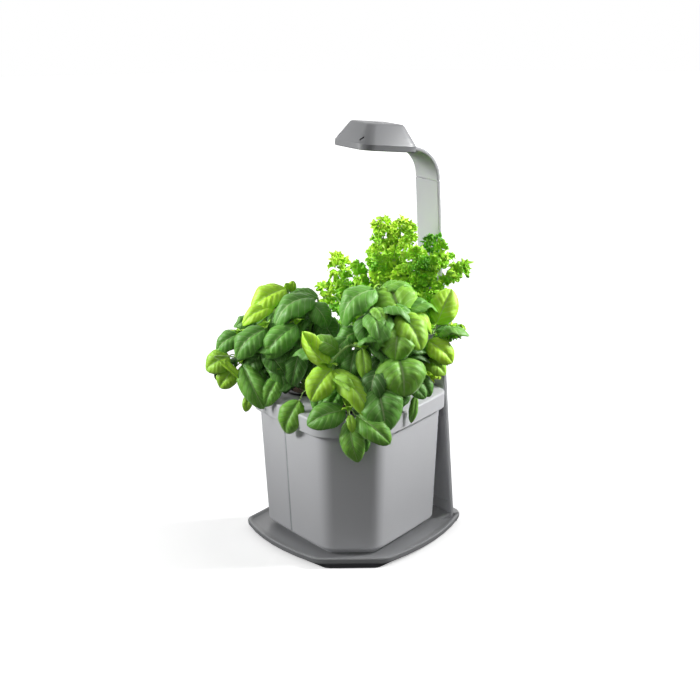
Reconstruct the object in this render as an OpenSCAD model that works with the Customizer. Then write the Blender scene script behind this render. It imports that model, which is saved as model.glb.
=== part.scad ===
/* [Tray] */
// Pot axis to each of the tray's two front corner faces
tray_corner = 112; // [109:0.5:118]
// Depth of the tray behind the inner face of the lamp post
post_margin = 15.4; // [15:0.1:20]
// Pot axis to the middle of a long side of the lip
tray_side = 98.5; // [96:0.5:102]
// Radius of the upright edges of the lip
tray_edge = 20; // [16:1:24]
// Height of the lip above the table
lip_z = 10.3; // [9.5:0.1:12]
// Width of the lip's top edge
lip_w = 3.2; // [2.5:0.1:4]
// Thickness of the tray's floor
tray_floor = 2.5; // [2:0.1:3]
// Thickness of the dark pad under the tray
pad_h = 4; // [3:0.5:5]
// Pot axis to the middle of a long side of the pad
pad_side = 88; // [84:1:92]

/* [Pot] */
// Pot axis to each corner face at the pot's lower edge
pot_corner = 90.4; // [86:0.2:91]
// Pot axis to the middle of each long side at the lower edge
pot_side = 70.2; // [68:0.2:71]
// Half the flat width of a corner face
pot_half = 17.6; // [15:0.2:20]
// Radius of the pot's upright edges at the lower edge
pot_edge = 17.8; // [14:0.2:20]
// How far each wall leans out between the lower edge and the collar
pot_draft = 7.1; // [5:0.1:7.3]
// Height of the pot and its lid, from the lower edge to the top
pot_h = 144; // [130:1:150]
// Height of the recessed foot that lifts the pot's lower edge
foot_h = 4.3; // [3:0.1:6]
// How far the recessed foot stands back from the lower edge
foot_inset = 8; // [6:0.5:12]
// Wall thickness of the pot
wall = 2.4; // [1.8:0.1:3]
// Water gauge: place across the front face
gauge_x = -6; // [-20:1:20]
// Water gauge: width of the clear strip
gauge_w = 3; // [2.5:0.1:4]
// Water gauge: depth of its groove
gauge_d = 1.3; // [1:0.1:1.6]

/* [Lid] */
// Height of the collar that hangs over the pot's wall
collar_h = 18; // [14:0.5:24]
// How far the collar stands out from the wall below it
collar_out = 5.6; // [5:0.1:6]
// Wall thickness of the collar
collar_wall = 2.4; // [2:0.1:2.8]
// Thickness of the lid's plate
lid_t = 2.5; // [2:0.1:3.5]
// Pot axis to the centre of each plant cup
cup_reach = 48; // [45:0.5:51]
// Radius of the filler opening
filler_r = 8; // [6:0.5:9]

/* [Plant cups] */
// Radius of a cup just under its flange
cup_r = 23.8; // [21:0.2:25]
// Radius of a cup at its floor
cup_floor_r = 17.5; // [14:0.5:20]
// Depth of a cup below the lid's top
cup_h = 50; // [40:1:70]
// Wall thickness of a cup
cup_wall = 1.4; // [1.2:0.1:2]
// Width of the flange that rests on the lid
cup_flange = 3.2; // [2.5:0.1:4]

/* [Lamp post] */
// Pot axis to the post's inner face at table level
post_y = 110.6; // [110:0.1:112]
// Lean of the post towards the pot, in degrees
post_lean = 2.05; // [1.5:0.05:2.2]
// Thickness of the post's plate
post_t = 4.2; // [4:0.1:5]
// Width of the post at the seam
post_w = 43.4; // [40:0.2:48]
// Width of the post at the tray
post_foot_w = 62; // [56:1:66]
// Length over which the post narrows, from the tray upwards
flare_h = 260; // [200:5:300]
// Distance along the post to the seam under the bend
seam_s = 381.5; // [370:0.5:400]
// Width of the ridge behind the post
ridge_w = 24; // [23:0.5:27]
// Depth of the post and its ridge together
ridge_d = 9.8; // [9.4:0.2:11]
// Width of the power inlet's housing at the foot of the ridge
inlet_w = 26; // [25:0.5:30]
// Depth of the post and the inlet's housing together
inlet_d = 13; // [12.4:0.2:14]
// Height of the inlet's housing
inlet_h = 56; // [50:1:62]
// Length of the steel tongue below the seam
tongue_l = 110; // [100:5:130]
// Width of the steel tongue
tongue_w = 20; // [16:0.5:22]
// Thickness of the steel tongue
tongue_t = 2; // [1.6:0.1:2.2]

/* [Lamp head] */
// Inner radius of the bend
bend_r = 32.5; // [28:0.5:38]
// Upward tilt of the head's free end, in degrees
head_tilt = 6.1; // [3:0.1:9]
// Side length of the head's square skirt
head_w = 70; // [68:0.5:76]
// Corner radius of the skirt
head_r = 14.4; // [12:0.2:18]
// Side length of the head's flat top
head_top_w = 45; // [42:0.5:50]
// Corner radius of the flat top
head_top_r = 8.5; // [7:0.5:10]
// Height of the head
head_h = 27.3; // [26.5:0.1:32]
// Height of the upright skirt
skirt_h = 6.7; // [6.2:0.1:8]
// Wall thickness of the head
head_wall = 2; // [1.6:0.1:2.4]
// Width of the frame round the diffuser
bezel = 4.4; // [4:0.1:5]
// Radius of the power button
button_r = 7; // [5:0.5:8]
// Travel of the power button
button_travel = 1; // [0.6:0.1:1.2]

/* [Hidden] */
$fn = 48;
eps = 0.01;
seat = 0.2;         // gap where a piece rests on another body
fit = 0.3;          // gap round a piece that drops into another
snug = 0.1;         // running gap of the tongue and the screws
POST = 0;           // corner numbers, anticlockwise from the post
LEFT = 1;
RIGHT = 2;

// Heights above the table
floor_z = pad_h + tray_floor;
foot_z = floor_z + seat;
pot_z = foot_z + foot_h;
top_z = pot_z + pot_h;
collar_z = top_z - collar_h;
brim_z = top_z - lid_t - seat;
bend_s = seam_s + 3.5;
post_corner = post_y + post_margin;

/* ---------- outlines ---------- */
// The plan of tray, pot and lid is a triangle with cut corners: [corner distances,
// side distance, half widths of the corner faces, edge radius].
function direction(a) = [cos(a), sin(a)];
function corner_a(k) = 90 + 120 * k;
function wider(p, d) = [[for (c = p[0]) c + d], p[1] + d, p[2], p[3] + d];
function leaned(p, d) = [[for (c = p[0]) c + d], p[1] + d, [for (h = p[2]) h + 0.3 * d], p[3] + 0.4 * d];
function edge_c(p, k, s) =
    (p[0][k] - p[3]) * direction(corner_a(k)) + s * p[2][k] * direction(corner_a(k) + 90);
function side_bow(p, k) =
    p[1] - p[3] - (edge_c(p, k, 1) + edge_c(p, (k + 1) % 3, -1)) / 2 * direction(corner_a(k) + 60);
function side_len(p, k) = norm(edge_c(p, (k + 1) % 3, -1) - edge_c(p, k, 1));
function side_turn(p, k) = atan(4 * side_bow(p, k) / side_len(p, k));
function arc(c, r, a0, a1, n) = [for (i = [0:n]) c + r * direction(a0 + (a1 - a0) * i / n)];
function side_point(p, k, t) =
    let (a = edge_c(p, k, 1), b = edge_c(p, (k + 1) % 3, -1), m = corner_a(k) + 60,
         turn = atan(4 * side_bow(p, k) / side_len(p, k) * (1 - 2 * t)))
    a + (b - a) * t + direction(m) * side_bow(p, k) * 4 * t * (1 - t) + p[3] * direction(m - turn);
function plan(p, n = 4, m = 5) = [
    for (k = [0:2])
        each concat(
            arc(edge_c(p, k, -1), p[3], corner_a(k) - 60 + side_turn(p, (k + 2) % 3), corner_a(k), n),
            arc(edge_c(p, k, 1), p[3], corner_a(k), corner_a(k) + 60 - side_turn(p, k), n),
            [for (i = [1:m]) side_point(p, k, i / (m + 1))])
];
// Rounded rectangle, anticlockwise
function round_rect(w, d, r, n = 5) = [
    for (q = [0:3])
        each arc([(w / 2 - r) * (q == 0 || q == 3 ? 1 : -1), (d / 2 - r) * (q < 2 ? 1 : -1)], r,
                 90 * q, 90 * q + 90, n)
];
function raised(points, z) = [for (p = points) [p.x, p.y, z]];

// Skin over a stack of rings with equal numbers of points, closed by the first and last ring
module loft(rings) {
    n = len(rings[0]);
    top = (len(rings) - 1) * n;
    sides = [
        for (j = [0:len(rings) - 2], i = [0:n - 1])
            let (a = j * n + i, b = j * n + (i + 1) % n)
            each [[a, a + n, b + n], [a, b + n, b]]
    ];
    polyhedron(points = [for (r = rings) each r],
               faces = concat([[for (i = [0:n - 1]) i]], [[for (i = [n - 1:-1:0]) top + i]], sides));
}

// A rod of given radius lying along +Y
module rod_y(r, y0, y1) {
    translate([0, y0, 0]) rotate([-90, 0, 0]) cylinder(r = r, h = y1 - y0);
}

/* ---------- plans at each level ---------- */
tray_plan = [[post_corner, tray_corner, tray_corner], tray_side, [18.4, 27.8, 27.8], tray_edge];
pad_plan = [[post_corner - 1, tray_corner, tray_corner], pad_side, [18.4, 22, 22], tray_edge / 2];
pot_plan = [[for (k = [0:2]) pot_corner], pot_side, [for (k = [0:2]) pot_half], pot_edge];
function pot_at(z) = leaned(pot_plan, pot_draft * (z - pot_z) / (collar_z - pot_z));
collar_plan = wider(pot_at(collar_z), collar_out);

/* ---------- tray ---------- */
module base_pad() {
    color("#3a3b3d") linear_extrude(pad_h) polygon(plan(pad_plan));
}

// Section of the tray's rim from the pad up and inwards: [distance in, height]
rim = [[1.6, pad_h], [0.7, pad_h + 1.4], [0.2, lip_z - 1.2], [0.6, lip_z - 0.3], [1.5, lip_z],
       [lip_w, lip_z - 0.2], [lip_w + 2, floor_z + 1.6], [lip_w + 6, floor_z + 0.4], [lip_w + 10, floor_z]];
boss_reach = 16;    // how far the post's block slopes out in front of it
boss_h = 5;         // height of that block above the tray's floor
boss_edge = 1.2;    // width of the ledge in front of the post
foot_screw_x = 8.5;
foot_screw_y = 8;
screw_r = 1.3;
screw_head_r = 2.6;
screw_head_h = 1.5;

// Block that carries the foot of the post, sloping down to the tray's floor
module post_boss() {
    translate([-post_foot_w / 2, 0, 0]) rotate([90, 0, 90]) linear_extrude(post_foot_w) polygon([
        [post_y - boss_reach, floor_z], [post_y - boss_edge, floor_z + boss_h],
        [post_corner, floor_z + boss_h], [post_corner, pad_h], [post_y - boss_reach, pad_h]
    ]);
}
module at_foot_screws() {
    for (x = [-1, 1]) translate([x * foot_screw_x, post_y + foot_screw_y, pad_h]) children();
}

module tray() {
    color("#a9abae") difference() {
        union() {
            loft([for (p = rim) raised(plan(wider(tray_plan, -p[0])), p[1])]);
            intersection() {
                post_boss();
                translate([0, 0, pad_h]) linear_extrude(tray_floor + boss_h)
                    polygon(plan(wider(tray_plan, -rim[0][0])));
            }
        }
        // pocket for the foot of the post
        intersection() {
            on_post() linear_extrude(40) post_section(fit / 2);
            translate([-post_foot_w, post_y - boss_reach, floor_z])
                cube([2 * post_foot_w, 2 * boss_reach + inlet_d, 20]);
        }
        at_foot_screws() translate([0, 0, -1]) cylinder(r = screw_head_r + snug, h = 1 + screw_head_h);
        at_foot_screws() cylinder(r = screw_r + snug, h = 10);
    }
}

/* ---------- post ---------- */
module on_post(s = 0) {
    translate([0, post_y, 0]) rotate([post_lean, 0, 0]) translate([0, 0, s]) children();
}
function post_width(s) =
    s > flare_h ? post_w : post_w + (post_foot_w - post_w) * pow(1 - max(s, 0) / flare_h, 1.3);
seam_edge = 0.6;     // bevel on both sides of the seam
ridge_top = seam_s - 8;
cover_w = 20;
cover_t = 2;
duct_w = 18;
duct_y = post_t + 0.2;
duct_foot = 15;
cover_foot = inlet_h + 2;
cover_top = ridge_top - 5;
screw_s = [cover_foot + 14, 215, cover_top - 12];
inlet_s = 30;
inlet_r = 4.4;
inlet_wall = 2;

// Section of a ridge behind the plate, with rounded outer corners
module ridge_section(w, d, gap = 0) {
    r = 3;
    translate([-w / 2 - gap, 0]) square([w + 2 * gap, d - r]);
    translate([-w / 2 + r, 0]) square([w - 2 * r, d + gap]);
    for (x = [-1, 1]) translate([x * (w / 2 - r), d - r]) circle(r = r + gap);
}
module post_section(gap) {
    translate([-post_foot_w / 2 - gap, -gap]) square([post_foot_w + 2 * gap, post_t + 2 * gap]);
    ridge_section(inlet_w, inlet_d, gap);
}
function post_ring(s, inset = 0) =
    raised([for (p = round_rect(post_width(s) - 2 * inset, post_t - 2 * inset, 1.2, 3)) p + [0, post_t / 2]], s);
module cover_cut(gap) {
    translate([-cover_w / 2 - gap, ridge_d - cover_t, cover_foot - gap])
        cube([cover_w + 2 * gap, cover_t + 1, cover_top - cover_foot + 2 * gap]);
}

module lamp_post() {
    steps = [for (i = [0:9]) -2 + i * (flare_h + 2) / 9];
    border = 4.5;
    panel = [for (i = [0:6]) 24 + i * 30];
    color("#b4b6b9") difference() {
        on_post() {
            difference() {
                union() {
                    loft(concat(
                        [for (s = concat(steps, [seam_s - seam_edge])) post_ring(s)],
                        [post_ring(seam_s, seam_edge)]
                    ));
                    translate([0, 1, 0]) linear_extrude(ridge_top) ridge_section(ridge_w, ridge_d - 1);
                    translate([0, 1, 0]) linear_extrude(inlet_h) ridge_section(inlet_w, inlet_d - 1);
                }
                // channel of the tongue
                translate([-tongue_w / 2 - snug, post_t / 2 - tongue_t / 2 - snug, seam_s - tongue_l - 4])
                    cube([tongue_w + 2 * snug, tongue_t + 2 * snug, tongue_l + 5]);
                // cable duct, its room behind the inlet and the seat of its cover
                translate([-duct_w / 2, duct_y, cover_foot + 2])
                    cube([duct_w, ridge_d, cover_top - cover_foot - 4]);
                translate([-duct_w / 2, duct_y, duct_foot])
                    cube([duct_w, ridge_d - cover_t - 1 - duct_y, cover_foot + 3 - duct_foot]);
                translate([-duct_w / 2, duct_y, duct_foot])
                    cube([duct_w, inlet_d - inlet_wall - duct_y, inlet_h - inlet_wall - duct_foot]);
                cover_cut(snug);
                translate([0, 0, inlet_s]) rod_y(inlet_r + snug, duct_y, inlet_d + 1);
                // panel set into the inner face
                translate([0, 1.1, 0]) rotate([90, 0, 0]) linear_extrude(3)
                    polygon(concat([for (s = panel) [post_width(s) / 2 - border, s]],
                                   [for (i = [6:-1:0]) [-post_width(panel[i]) / 2 + border, panel[i]]]));
            }
            difference() {
                for (s = screw_s) translate([0, 0, s]) rod_y(3.6, duct_y - 0.5, ridge_d - cover_t - snug);
                for (s = screw_s) translate([0, 0, s]) rod_y(screw_r + snug / 2, duct_y + 0.5, ridge_d);
            }
        }
        translate([-post_foot_w, post_y - boss_reach, floor_z - 50])
            cube([2 * post_foot_w, 2 * boss_reach + inlet_d, 50]);
        at_foot_screws() cylinder(r = screw_r + snug / 2, h = duct_foot - 5);
    }
}

module foot_screws() {
    color("silver") at_foot_screws() difference() {
        union() {
            cylinder(r = screw_head_r, h = screw_head_h);
            cylinder(r = screw_r, h = duct_foot - 6);
        }
        for (a = [0, 90]) rotate(a) translate([-2, -0.4, -1]) cube([4, 0.8, 1.8]);
    }
}

module post_cover() {
    color("#a9abae") on_post() difference() {
        cover_cut(0);
        translate([-20, ridge_d, 0]) cube([40, 3, seam_s]);
        for (s = screw_s) translate([0, 0, s]) rod_y(screw_r + snug, 0, ridge_d + 1);
    }
}

module post_screws() {
    color("silver") on_post() for (s = screw_s) translate([0, 0, s]) difference() {
        union() {
            rod_y(screw_r, duct_y + 1, ridge_d + 0.1);
            rod_y(screw_head_r, ridge_d, ridge_d + screw_head_h);
        }
        for (a = [0, 90]) rotate([0, a, 0]) translate([-0.4, ridge_d + 0.8, -2]) cube([0.8, 1, 4]);
    }
}

// Round low-voltage inlet with its centre pin
module power_inlet() {
    color("#1f2022") on_post(inlet_s) {
        difference() {
            union() {
                rod_y(inlet_r, duct_y, inlet_d);
                rod_y(inlet_r + 1.2, inlet_d, inlet_d + 1);
            }
            rod_y(inlet_r - 1.3, duct_y + 1.5, inlet_d + 2);
        }
        rod_y(1, duct_y + 1, inlet_d - 0.5);
    }
}

/* ---------- arm and lamp head ---------- */
bend = 90 - post_lean - head_tilt;
arm_cover_w = 34;
arm_cover_t = 1.2;
tenon = 3.6;         // how far the arm's end goes into the head
tenon_inset = [1, 0.3];
// Centre of the bend and its end midway through the plate, both as [y, z]
bend_c = [post_y - bend_r * cos(post_lean) - bend_s * sin(post_lean),
          -bend_r * sin(post_lean) + bend_s * cos(post_lean)];
arm_end = bend_c + (bend_r + post_t / 2) * direction(90 - head_tilt);
head_c = arm_end - head_w / 2 * direction(-head_tilt) - skirt_h / 2 * direction(90 - head_tilt);

module on_bend() {
    on_post(bend_s) translate([0, -bend_r, 0]) children();
}
module bend_sweep(from = 0, to = bend) {
    on_bend() rotate([from, 0, 0]) rotate([90, 0, 90]) rotate_extrude(angle = to - from, $fn = 96) children();
}
module on_head() {
    translate([0, head_c[0], head_c[1]]) rotate([-head_tilt, 0, 0]) children();
}

// A point of the arm: x across, d out from its inner face, then angle a round the bend and length l beyond it
function arm_point(x, d, a, l) =
    let (c = bend_c + (bend_r + d) * direction(post_lean + a) + l * direction(post_lean + a + 90)) [x, c.x, c.y];
function arm_ring(a, l, inset = [0, 0]) =
    [for (p = round_rect(post_w - 2 * inset.x, post_t - 2 * inset.y, 1.2, 3)) arm_point(p.x, p.y + post_t / 2, a, l)];

module upper_arm() {
    color("#b4b6b9") difference() {
        loft(concat(
            [arm_ring(0, seam_s + seat - bend_s, [seam_edge, seam_edge])],
            [arm_ring(0, seam_s + seat + seam_edge - bend_s)],
            [for (i = [0:20]) arm_ring(bend * i / 20, 0)],
            [arm_ring(bend, 0, tenon_inset)],
            [arm_ring(bend, tenon, tenon_inset)]
        ));
        // seat of the tongue
        on_post() translate([-tongue_w / 2 - snug, post_t / 2 - tongue_t / 2 - snug / 2, seam_s - 1])
            cube([tongue_w + 2 * snug, tongue_t + snug, 9]);
        // seat of the outer cover
        bend_sweep(12, bend - 3) translate([bend_r + post_t - arm_cover_t, -arm_cover_w / 2])
            square([arm_cover_t + 1, arm_cover_w]);
    }
}

module arm_cover() {
    color("#a9abae") bend_sweep(12.2, bend - 3.2)
        translate([bend_r + post_t - arm_cover_t + eps, -arm_cover_w / 2 + snug])
            square([arm_cover_t - eps, arm_cover_w - 2 * snug]);
}

module arm_tongue() {
    color("silver") on_post(seam_s - tongue_l)
        translate([-tongue_w / 2, post_t / 2 - tongue_t / 2, 0]) cube([tongue_w, tongue_t, tongue_l + 7.5]);
}

// Side length and corner radius of the head's outside at height z
function head_side(z) =
    z < skirt_h ? head_w : head_w - (head_w - head_top_w) * (z - skirt_h) / (head_h - skirt_h);
function head_edge(z) =
    z < skirt_h ? head_r : head_r - (head_r - head_top_r) * (z - skirt_h) / (head_h - skirt_h);
function head_ring(z, inset) =
    raised(round_rect(head_side(z) - 2 * inset, head_side(z) - 2 * inset, head_edge(z) - inset * 0.8), z);

diffuser_t = 2;
ledge_z = 3;
ledge_w = 1.4;
board_w = 52;
board_z = 6;
board_t = 1.6;
sink_z = board_z + board_t;
sink_t = 2;
fin_h = 5;
driver_z = sink_z + sink_t + fin_h;
boss_p = 22;         // screw bosses, from the head's axis each way
switch_z = driver_z + board_t + 2.2;
vent_x = 23;         // air slots, from the middle of their slope each way
roof_z = head_h - head_wall;
button_z = roof_z - seat;

module head_skin() {
    loft([head_ring(0, 0.8), head_ring(0.8, 0), head_ring(skirt_h - 0.4, 0), head_ring(skirt_h + 0.5, 0.2),
          head_ring(head_h - 1.6, 0), head_ring(head_h - 0.5, 0.5), head_ring(head_h, 1.6)]);
}
module at_bosses() {
    for (x = [-1, 1], y = [-1, 1]) translate([x * boss_p, y * boss_p, 0]) children();
}
module vent_slot() {
    rotate([90, 0, 0]) translate([0, 0, -20]) {
        for (s = [-1, 1]) translate([0, s * 1.6, 0]) cylinder(r = 1, h = 40);
        translate([-1, -1.6, 0]) cube([2, 3.2, 40]);
    }
}

module lamp_housing() {
    color("#a0a2a5") on_head() difference() {
        union() {
            difference() {
                head_skin();
                loft([head_ring(-1, bezel), head_ring(ledge_z, bezel), head_ring(ledge_z + eps, bezel + ledge_w),
                      head_ring(skirt_h, bezel + ledge_w), head_ring(skirt_h + 4, head_wall),
                      head_ring(roof_z, head_wall)]);
            }
            intersection() {
                head_skin();
                at_bosses() translate([0, 0, sink_z + sink_t]) cylinder(r = 3.5, h = head_h);
            }
        }
        at_bosses() cylinder(r = 1.45 + snug / 2, h = 17);
        translate([0, 0, roof_z - 1]) cylinder(r = button_r + fit / 2, h = 5);
        // slot that takes the end of the arm
        translate([0, head_w / 2, skirt_h / 2])
            cube([post_w - 2 * tenon_inset.x + 2 * snug, 2 * (tenon + snug),
                  post_t - 2 * tenon_inset.y + 2 * snug], center = true);
        // slanted air slots near the ends of the front and the back slope
        for (q = [0, 180], s = [-1, 1])
            rotate(q) translate([s * vent_x, -head_w / 2 - 13, skirt_h + 4.6]) rotate([0, 35, 0]) vent_slot();
    }
}

module lamp_diffuser() {
    w = head_w - 2 * bezel - 2 * snug;
    color("#f4f6f4") on_head() translate([0, 0, ledge_z - diffuser_t - snug])
        linear_extrude(diffuser_t) polygon(round_rect(w, w, head_r - bezel * 0.8));
}

module led_board() {
    color("#e9ebe6") on_head() difference() {
        translate([0, 0, board_z]) linear_extrude(board_t) polygon(round_rect(board_w, board_w, 3));
        at_bosses() cylinder(r = 1.45 + snug, h = 20);
    }
}

module leds() {
    color("#fff6c8") on_head() for (x = [-15, 0, 15], y = [-15, 0, 15]) translate([x, y, board_z]) {
        translate([0, 0, -0.8]) cylinder(r = 2.2, h = 0.8);
        intersection() {
            translate([0, 0, -0.8]) sphere(r = 1.7);
            translate([-3, -3, -3]) cube([6, 6, 2.5]);
        }
    }
}

module heat_sink() {
    color("#c8cacc") on_head() difference() {
        translate([0, 0, sink_z]) {
            linear_extrude(sink_t) polygon(round_rect(board_w, board_w, 3));
            for (i = [0:7]) translate([-17.5 + 5 * i - 0.6, -board_w / 2 + 1, sink_t - eps])
                cube([1.2, board_w - 2, fin_h + eps]);
        }
        at_bosses() cylinder(r = 1.45 + snug, h = 20);
    }
}

module driver_board() {
    color("#2f6b46") on_head() {
        translate([-17, -15, driver_z]) cube([34, 30, board_t]);
        translate([0, 0, driver_z + board_t - eps]) {
            translate([-3, -3, 0]) cube([6, 6, switch_z - driver_z - board_t]);
            translate([-11, -8, 0]) cylinder(r = 3, h = 5);
            translate([6, 4, 0]) cube([8, 7, 3.5]);
            translate([-14, 4, 0]) cube([6, 8, 2]);
        }
    }
}

module lamp_screws() {
    color("silver") on_head() at_bosses() difference() {
        union() {
            translate([0, 0, board_z - 1.5]) cylinder(r = 2.7, h = 1.5);
            translate([0, 0, board_z - eps]) cylinder(r = 1.45, h = 9);
        }
        for (a = [0, 90]) rotate([0, 0, a]) translate([-2, -0.4, board_z - 2]) cube([4, 0.8, 1.2]);
    }
}

module power_button() {
    color("#d9dbdd") on_head() rotate_extrude() polygon([
        [0, switch_z + button_travel + seat], [2.5, switch_z + button_travel + seat], [2.5, button_z - 1.4],
        [button_r + 1.5, button_z - 1.4], [button_r + 1.5, button_z], [button_r, button_z],
        [button_r, head_h], [button_r - 0.6, head_h + 0.6], [0, head_h + 0.8]
    ]);
}

/* ---------- pot ---------- */
groove_gap = 0.15;
pot_lean = atan(pot_draft / (collar_z - pot_z));
module on_front_face() {
    translate([gauge_x, -pot_side, pot_z]) rotate([pot_lean, 0, 0]) children();
}

module pot_shell() {
    beam = collar_out - collar_wall - fit;
    bead_z = collar_z + 8;
    in_z = pot_z + wall;
    color("#c9cbce") difference() {
        union() {
            loft([
                raised(plan(wider(pot_plan, -foot_inset)), foot_z),
                raised(plan(wider(pot_plan, -foot_inset)), pot_z - 0.2),
                raised(plan(wider(pot_plan, -3)), pot_z),
                raised(plan(wider(pot_plan, -0.9)), pot_z + 1),
                raised(plan(wider(pot_at(pot_z + 3), 0)), pot_z + 3),
                raised(plan(pot_at(collar_z)), collar_z),
                raised(plan(pot_at(bead_z - 2)), bead_z - 2),
                raised(plan(wider(pot_at(collar_z), beam)), bead_z),
                raised(plan(wider(pot_at(collar_z), beam)), brim_z),
                raised(plan(wider(pot_at(brim_z), -wall)), brim_z),
                raised(plan(wider(pot_at(in_z + 3), -wall)), in_z + 3),
                raised(plan(wider(pot_at(in_z), -wall - 3)), in_z),
                raised(plan(wider(pot_plan, -foot_inset - wall)), in_z - 0.2),
                raised(plan(wider(pot_plan, -foot_inset - wall)), foot_z + wall)
            ]);
            // rib that backs the gauge's groove
            on_front_face() translate([-5, wall - 0.3, 4]) cube([10, 1.6, collar_z - pot_z]);
        }
        on_front_face() translate([-gauge_w / 2 - groove_gap, -1, -1])
            cube([gauge_w + 2 * groove_gap, gauge_d + 1, collar_z - pot_z + 6]);
    }
}

module water_gauge() {
    color("#dfeaf0") on_front_face() translate([-gauge_w / 2, gauge_d - 1.05, 3.4])
        cube([gauge_w, 1.05, collar_z - pot_z - 4]);
}

/* ---------- lid ---------- */
module at_cup(k) {
    translate(concat(cup_reach * direction(corner_a(k)), [0])) children();
}
filler_p = [21, 79];
cup_hole_r = cup_r + fit;

module pot_lid() {
    under_z = top_z - lid_t;
    color("#bdbfc2") difference() {
        union() {
            loft([
                raised(plan(wider(collar_plan, -collar_wall)), under_z),
                raised(plan(wider(collar_plan, -collar_wall)), collar_z),
                raised(plan(wider(collar_plan, -0.6)), collar_z),
                raised(plan(collar_plan), collar_z + 0.6),
                raised(plan(collar_plan), top_z - 2.2),
                raised(plan(wider(collar_plan, -0.7)), top_z - 0.7),
                raised(plan(wider(collar_plan, -2.4)), top_z)
            ]);
            for (k = [0:2]) at_cup(k) translate([0, 0, under_z - 7]) cylinder(r = cup_hole_r + 1.8, h = 8);
            translate(concat(filler_p, [under_z - 3])) cylinder(r = filler_r + 1.6, h = lid_t + 4.2);
        }
        for (k = [0:2]) at_cup(k) translate([0, 0, under_z - 8]) cylinder(r = cup_hole_r, h = 20);
        translate(concat(filler_p, [under_z - 4])) cylinder(r = filler_r, h = 20);
    }
}

/* ---------- cups, plugs ---------- */
cup_rim = 1.8;      // height of a cup's rolled rim above the lid
cup_floor = 1.5;
plug_gap = 0.4;
module cup(k) {
    z0 = top_z - cup_h;
    z1 = top_z + seat;
    inner = cup_r - cup_wall;
    color("#2b2d2f") at_cup(k) difference() {
        rotate_extrude() polygon([
            [0, z0], [cup_floor_r, z0], [cup_r, z1], [cup_r + cup_flange, z1], [cup_r + cup_flange, z1 + 1],
            [cup_r + cup_flange - 0.8, z1 + cup_rim], [inner + 0.3, z1 + cup_rim], [inner, z1],
            [cup_floor_r - cup_wall, z0 + cup_floor], [0, z0 + cup_floor]
        ]);
        for (i = [0:7]) rotate([0, 0, 45 * i]) translate([cup_floor_r - 6, -2, z0 + 8]) cube([20, 4, cup_h - 24]);
        for (i = [0:3]) rotate([0, 0, 45 + 90 * i]) translate([cup_floor_r / 2, 0, z0 - 1]) cylinder(r = 2.5, h = 4);
    }
}

plug_z = top_z + 1;
module grow_plug(k) {
    z0 = top_z - cup_h + cup_floor + seat;
    inner = cup_r - cup_wall - plug_gap;
    color("#5a4330") at_cup(k) rotate_extrude() polygon([
        [0, z0], [cup_floor_r - cup_wall - plug_gap, z0], [inner - 0.4, plug_z - 1.5], [inner - 1.6, plug_z],
        [0, plug_z]
    ]);
}

/* ---------- plants ---------- */
function polar(a, r, z) = [r * cos(a), r * sin(a), z];
function across(v) = let (h = norm([v.x, v.y])) h < 0.001 ? [1, 0, 0] : [-v.y, v.x, 0] / h;
module segment(a, b) {
    hull() polyhedron(points = concat(a, b), faces = [[0, 1, 2], [1, 3, 2], [4, 5, 6], [5, 7, 6]]);
}
// One oval leaf: its midrib runs from base along heading, rises and then droops
module leaf(base, heading, length, width, rise, droop, n = 3) {
    function rib(t) = base + polar(heading, length * t, 4 * rise * t * (1 - t) - droop * t * t);
    function half(t) = max(0.8, width / 2 * sin(180 * pow(t, 0.72)));
    function station(t) =
        let (c = rib(t), s = across(polar(heading, 1, 0)), h = half(t), fall = [0, 0, 0.14 * h])
        [c + s * h - fall, c - s * h - fall, c + [0, 0, 1], c - [0, 0, 1] - fall];
    for (i = [0:n - 1]) segment(station(i / n), station((i + 1) / n));
}
module stem(points, r0, r1) {
    n = len(points) - 1;
    for (i = [0:n - 1]) hull() {
        translate(points[i]) sphere(r = r0 + (r1 - r0) * i / n, $fn = 6);
        translate(points[i + 1]) sphere(r = r0 + (r1 - r0) * (i + 1) / n, $fn = 6);
    }
}
function bowed(a, b, lift) = [for (i = [0:3]) let (t = i / 3) a + (b - a) * t + [0, 0, lift * 4 * t * (1 - t)]];

plant_gap = 0.6;     // each plant stays this far from its neighbours' sectors
post_gap = 4;        // and this far in front of the post
sector = [42, 167, 270];    // azimuths between the basil at the right, the parsley and the basil at the left
crown_r = 8;         // radius of the close stems where a plant leaves its plug
// Each shoot: [azimuth of its tip, reach, height of the tip above the lid, leaf length, droop]
right_shoots = [[-28, 96, 26, 44, 40], [8, 84, 52, 50, 22], [30, 106, 88, 40, 12], [14, 70, 108, 48, 14],
                [-58, 72, 66, 40, 20], [-22, 58, 86, 42, 14]];
left_shoots = [[242, 92, 90, 42, 10], [252, 112, 50, 42, 24], [262, 82, 98, 48, 14], [264, 134, 48, 34, 22],
               [258, 92, 26, 42, 34], [200, 84, 72, 44, 20]];
parsley_shoots = [[70, 36, 172], [82, 62, 146], [58, 82, 132], [51, 112, 116], [106, 62, 132], [140, 58, 112],
                  [158, 74, 106], [160, 92, 78], [64, 62, 104], [96, 84, 100], [120, 84, 84], [56, 90, 88]];

// Wedge between two upright planes that meet near the pot's axis
module wedge(a0, a1) {
    translate(plant_gap * direction((a0 + a1) / 2)) linear_extrude(3 * top_z)
        polygon(concat([[0, 0]], [for (i = [0:6]) 2 * pot_h * direction(a0 + (a1 - a0) * i / 6)]));
}
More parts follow.
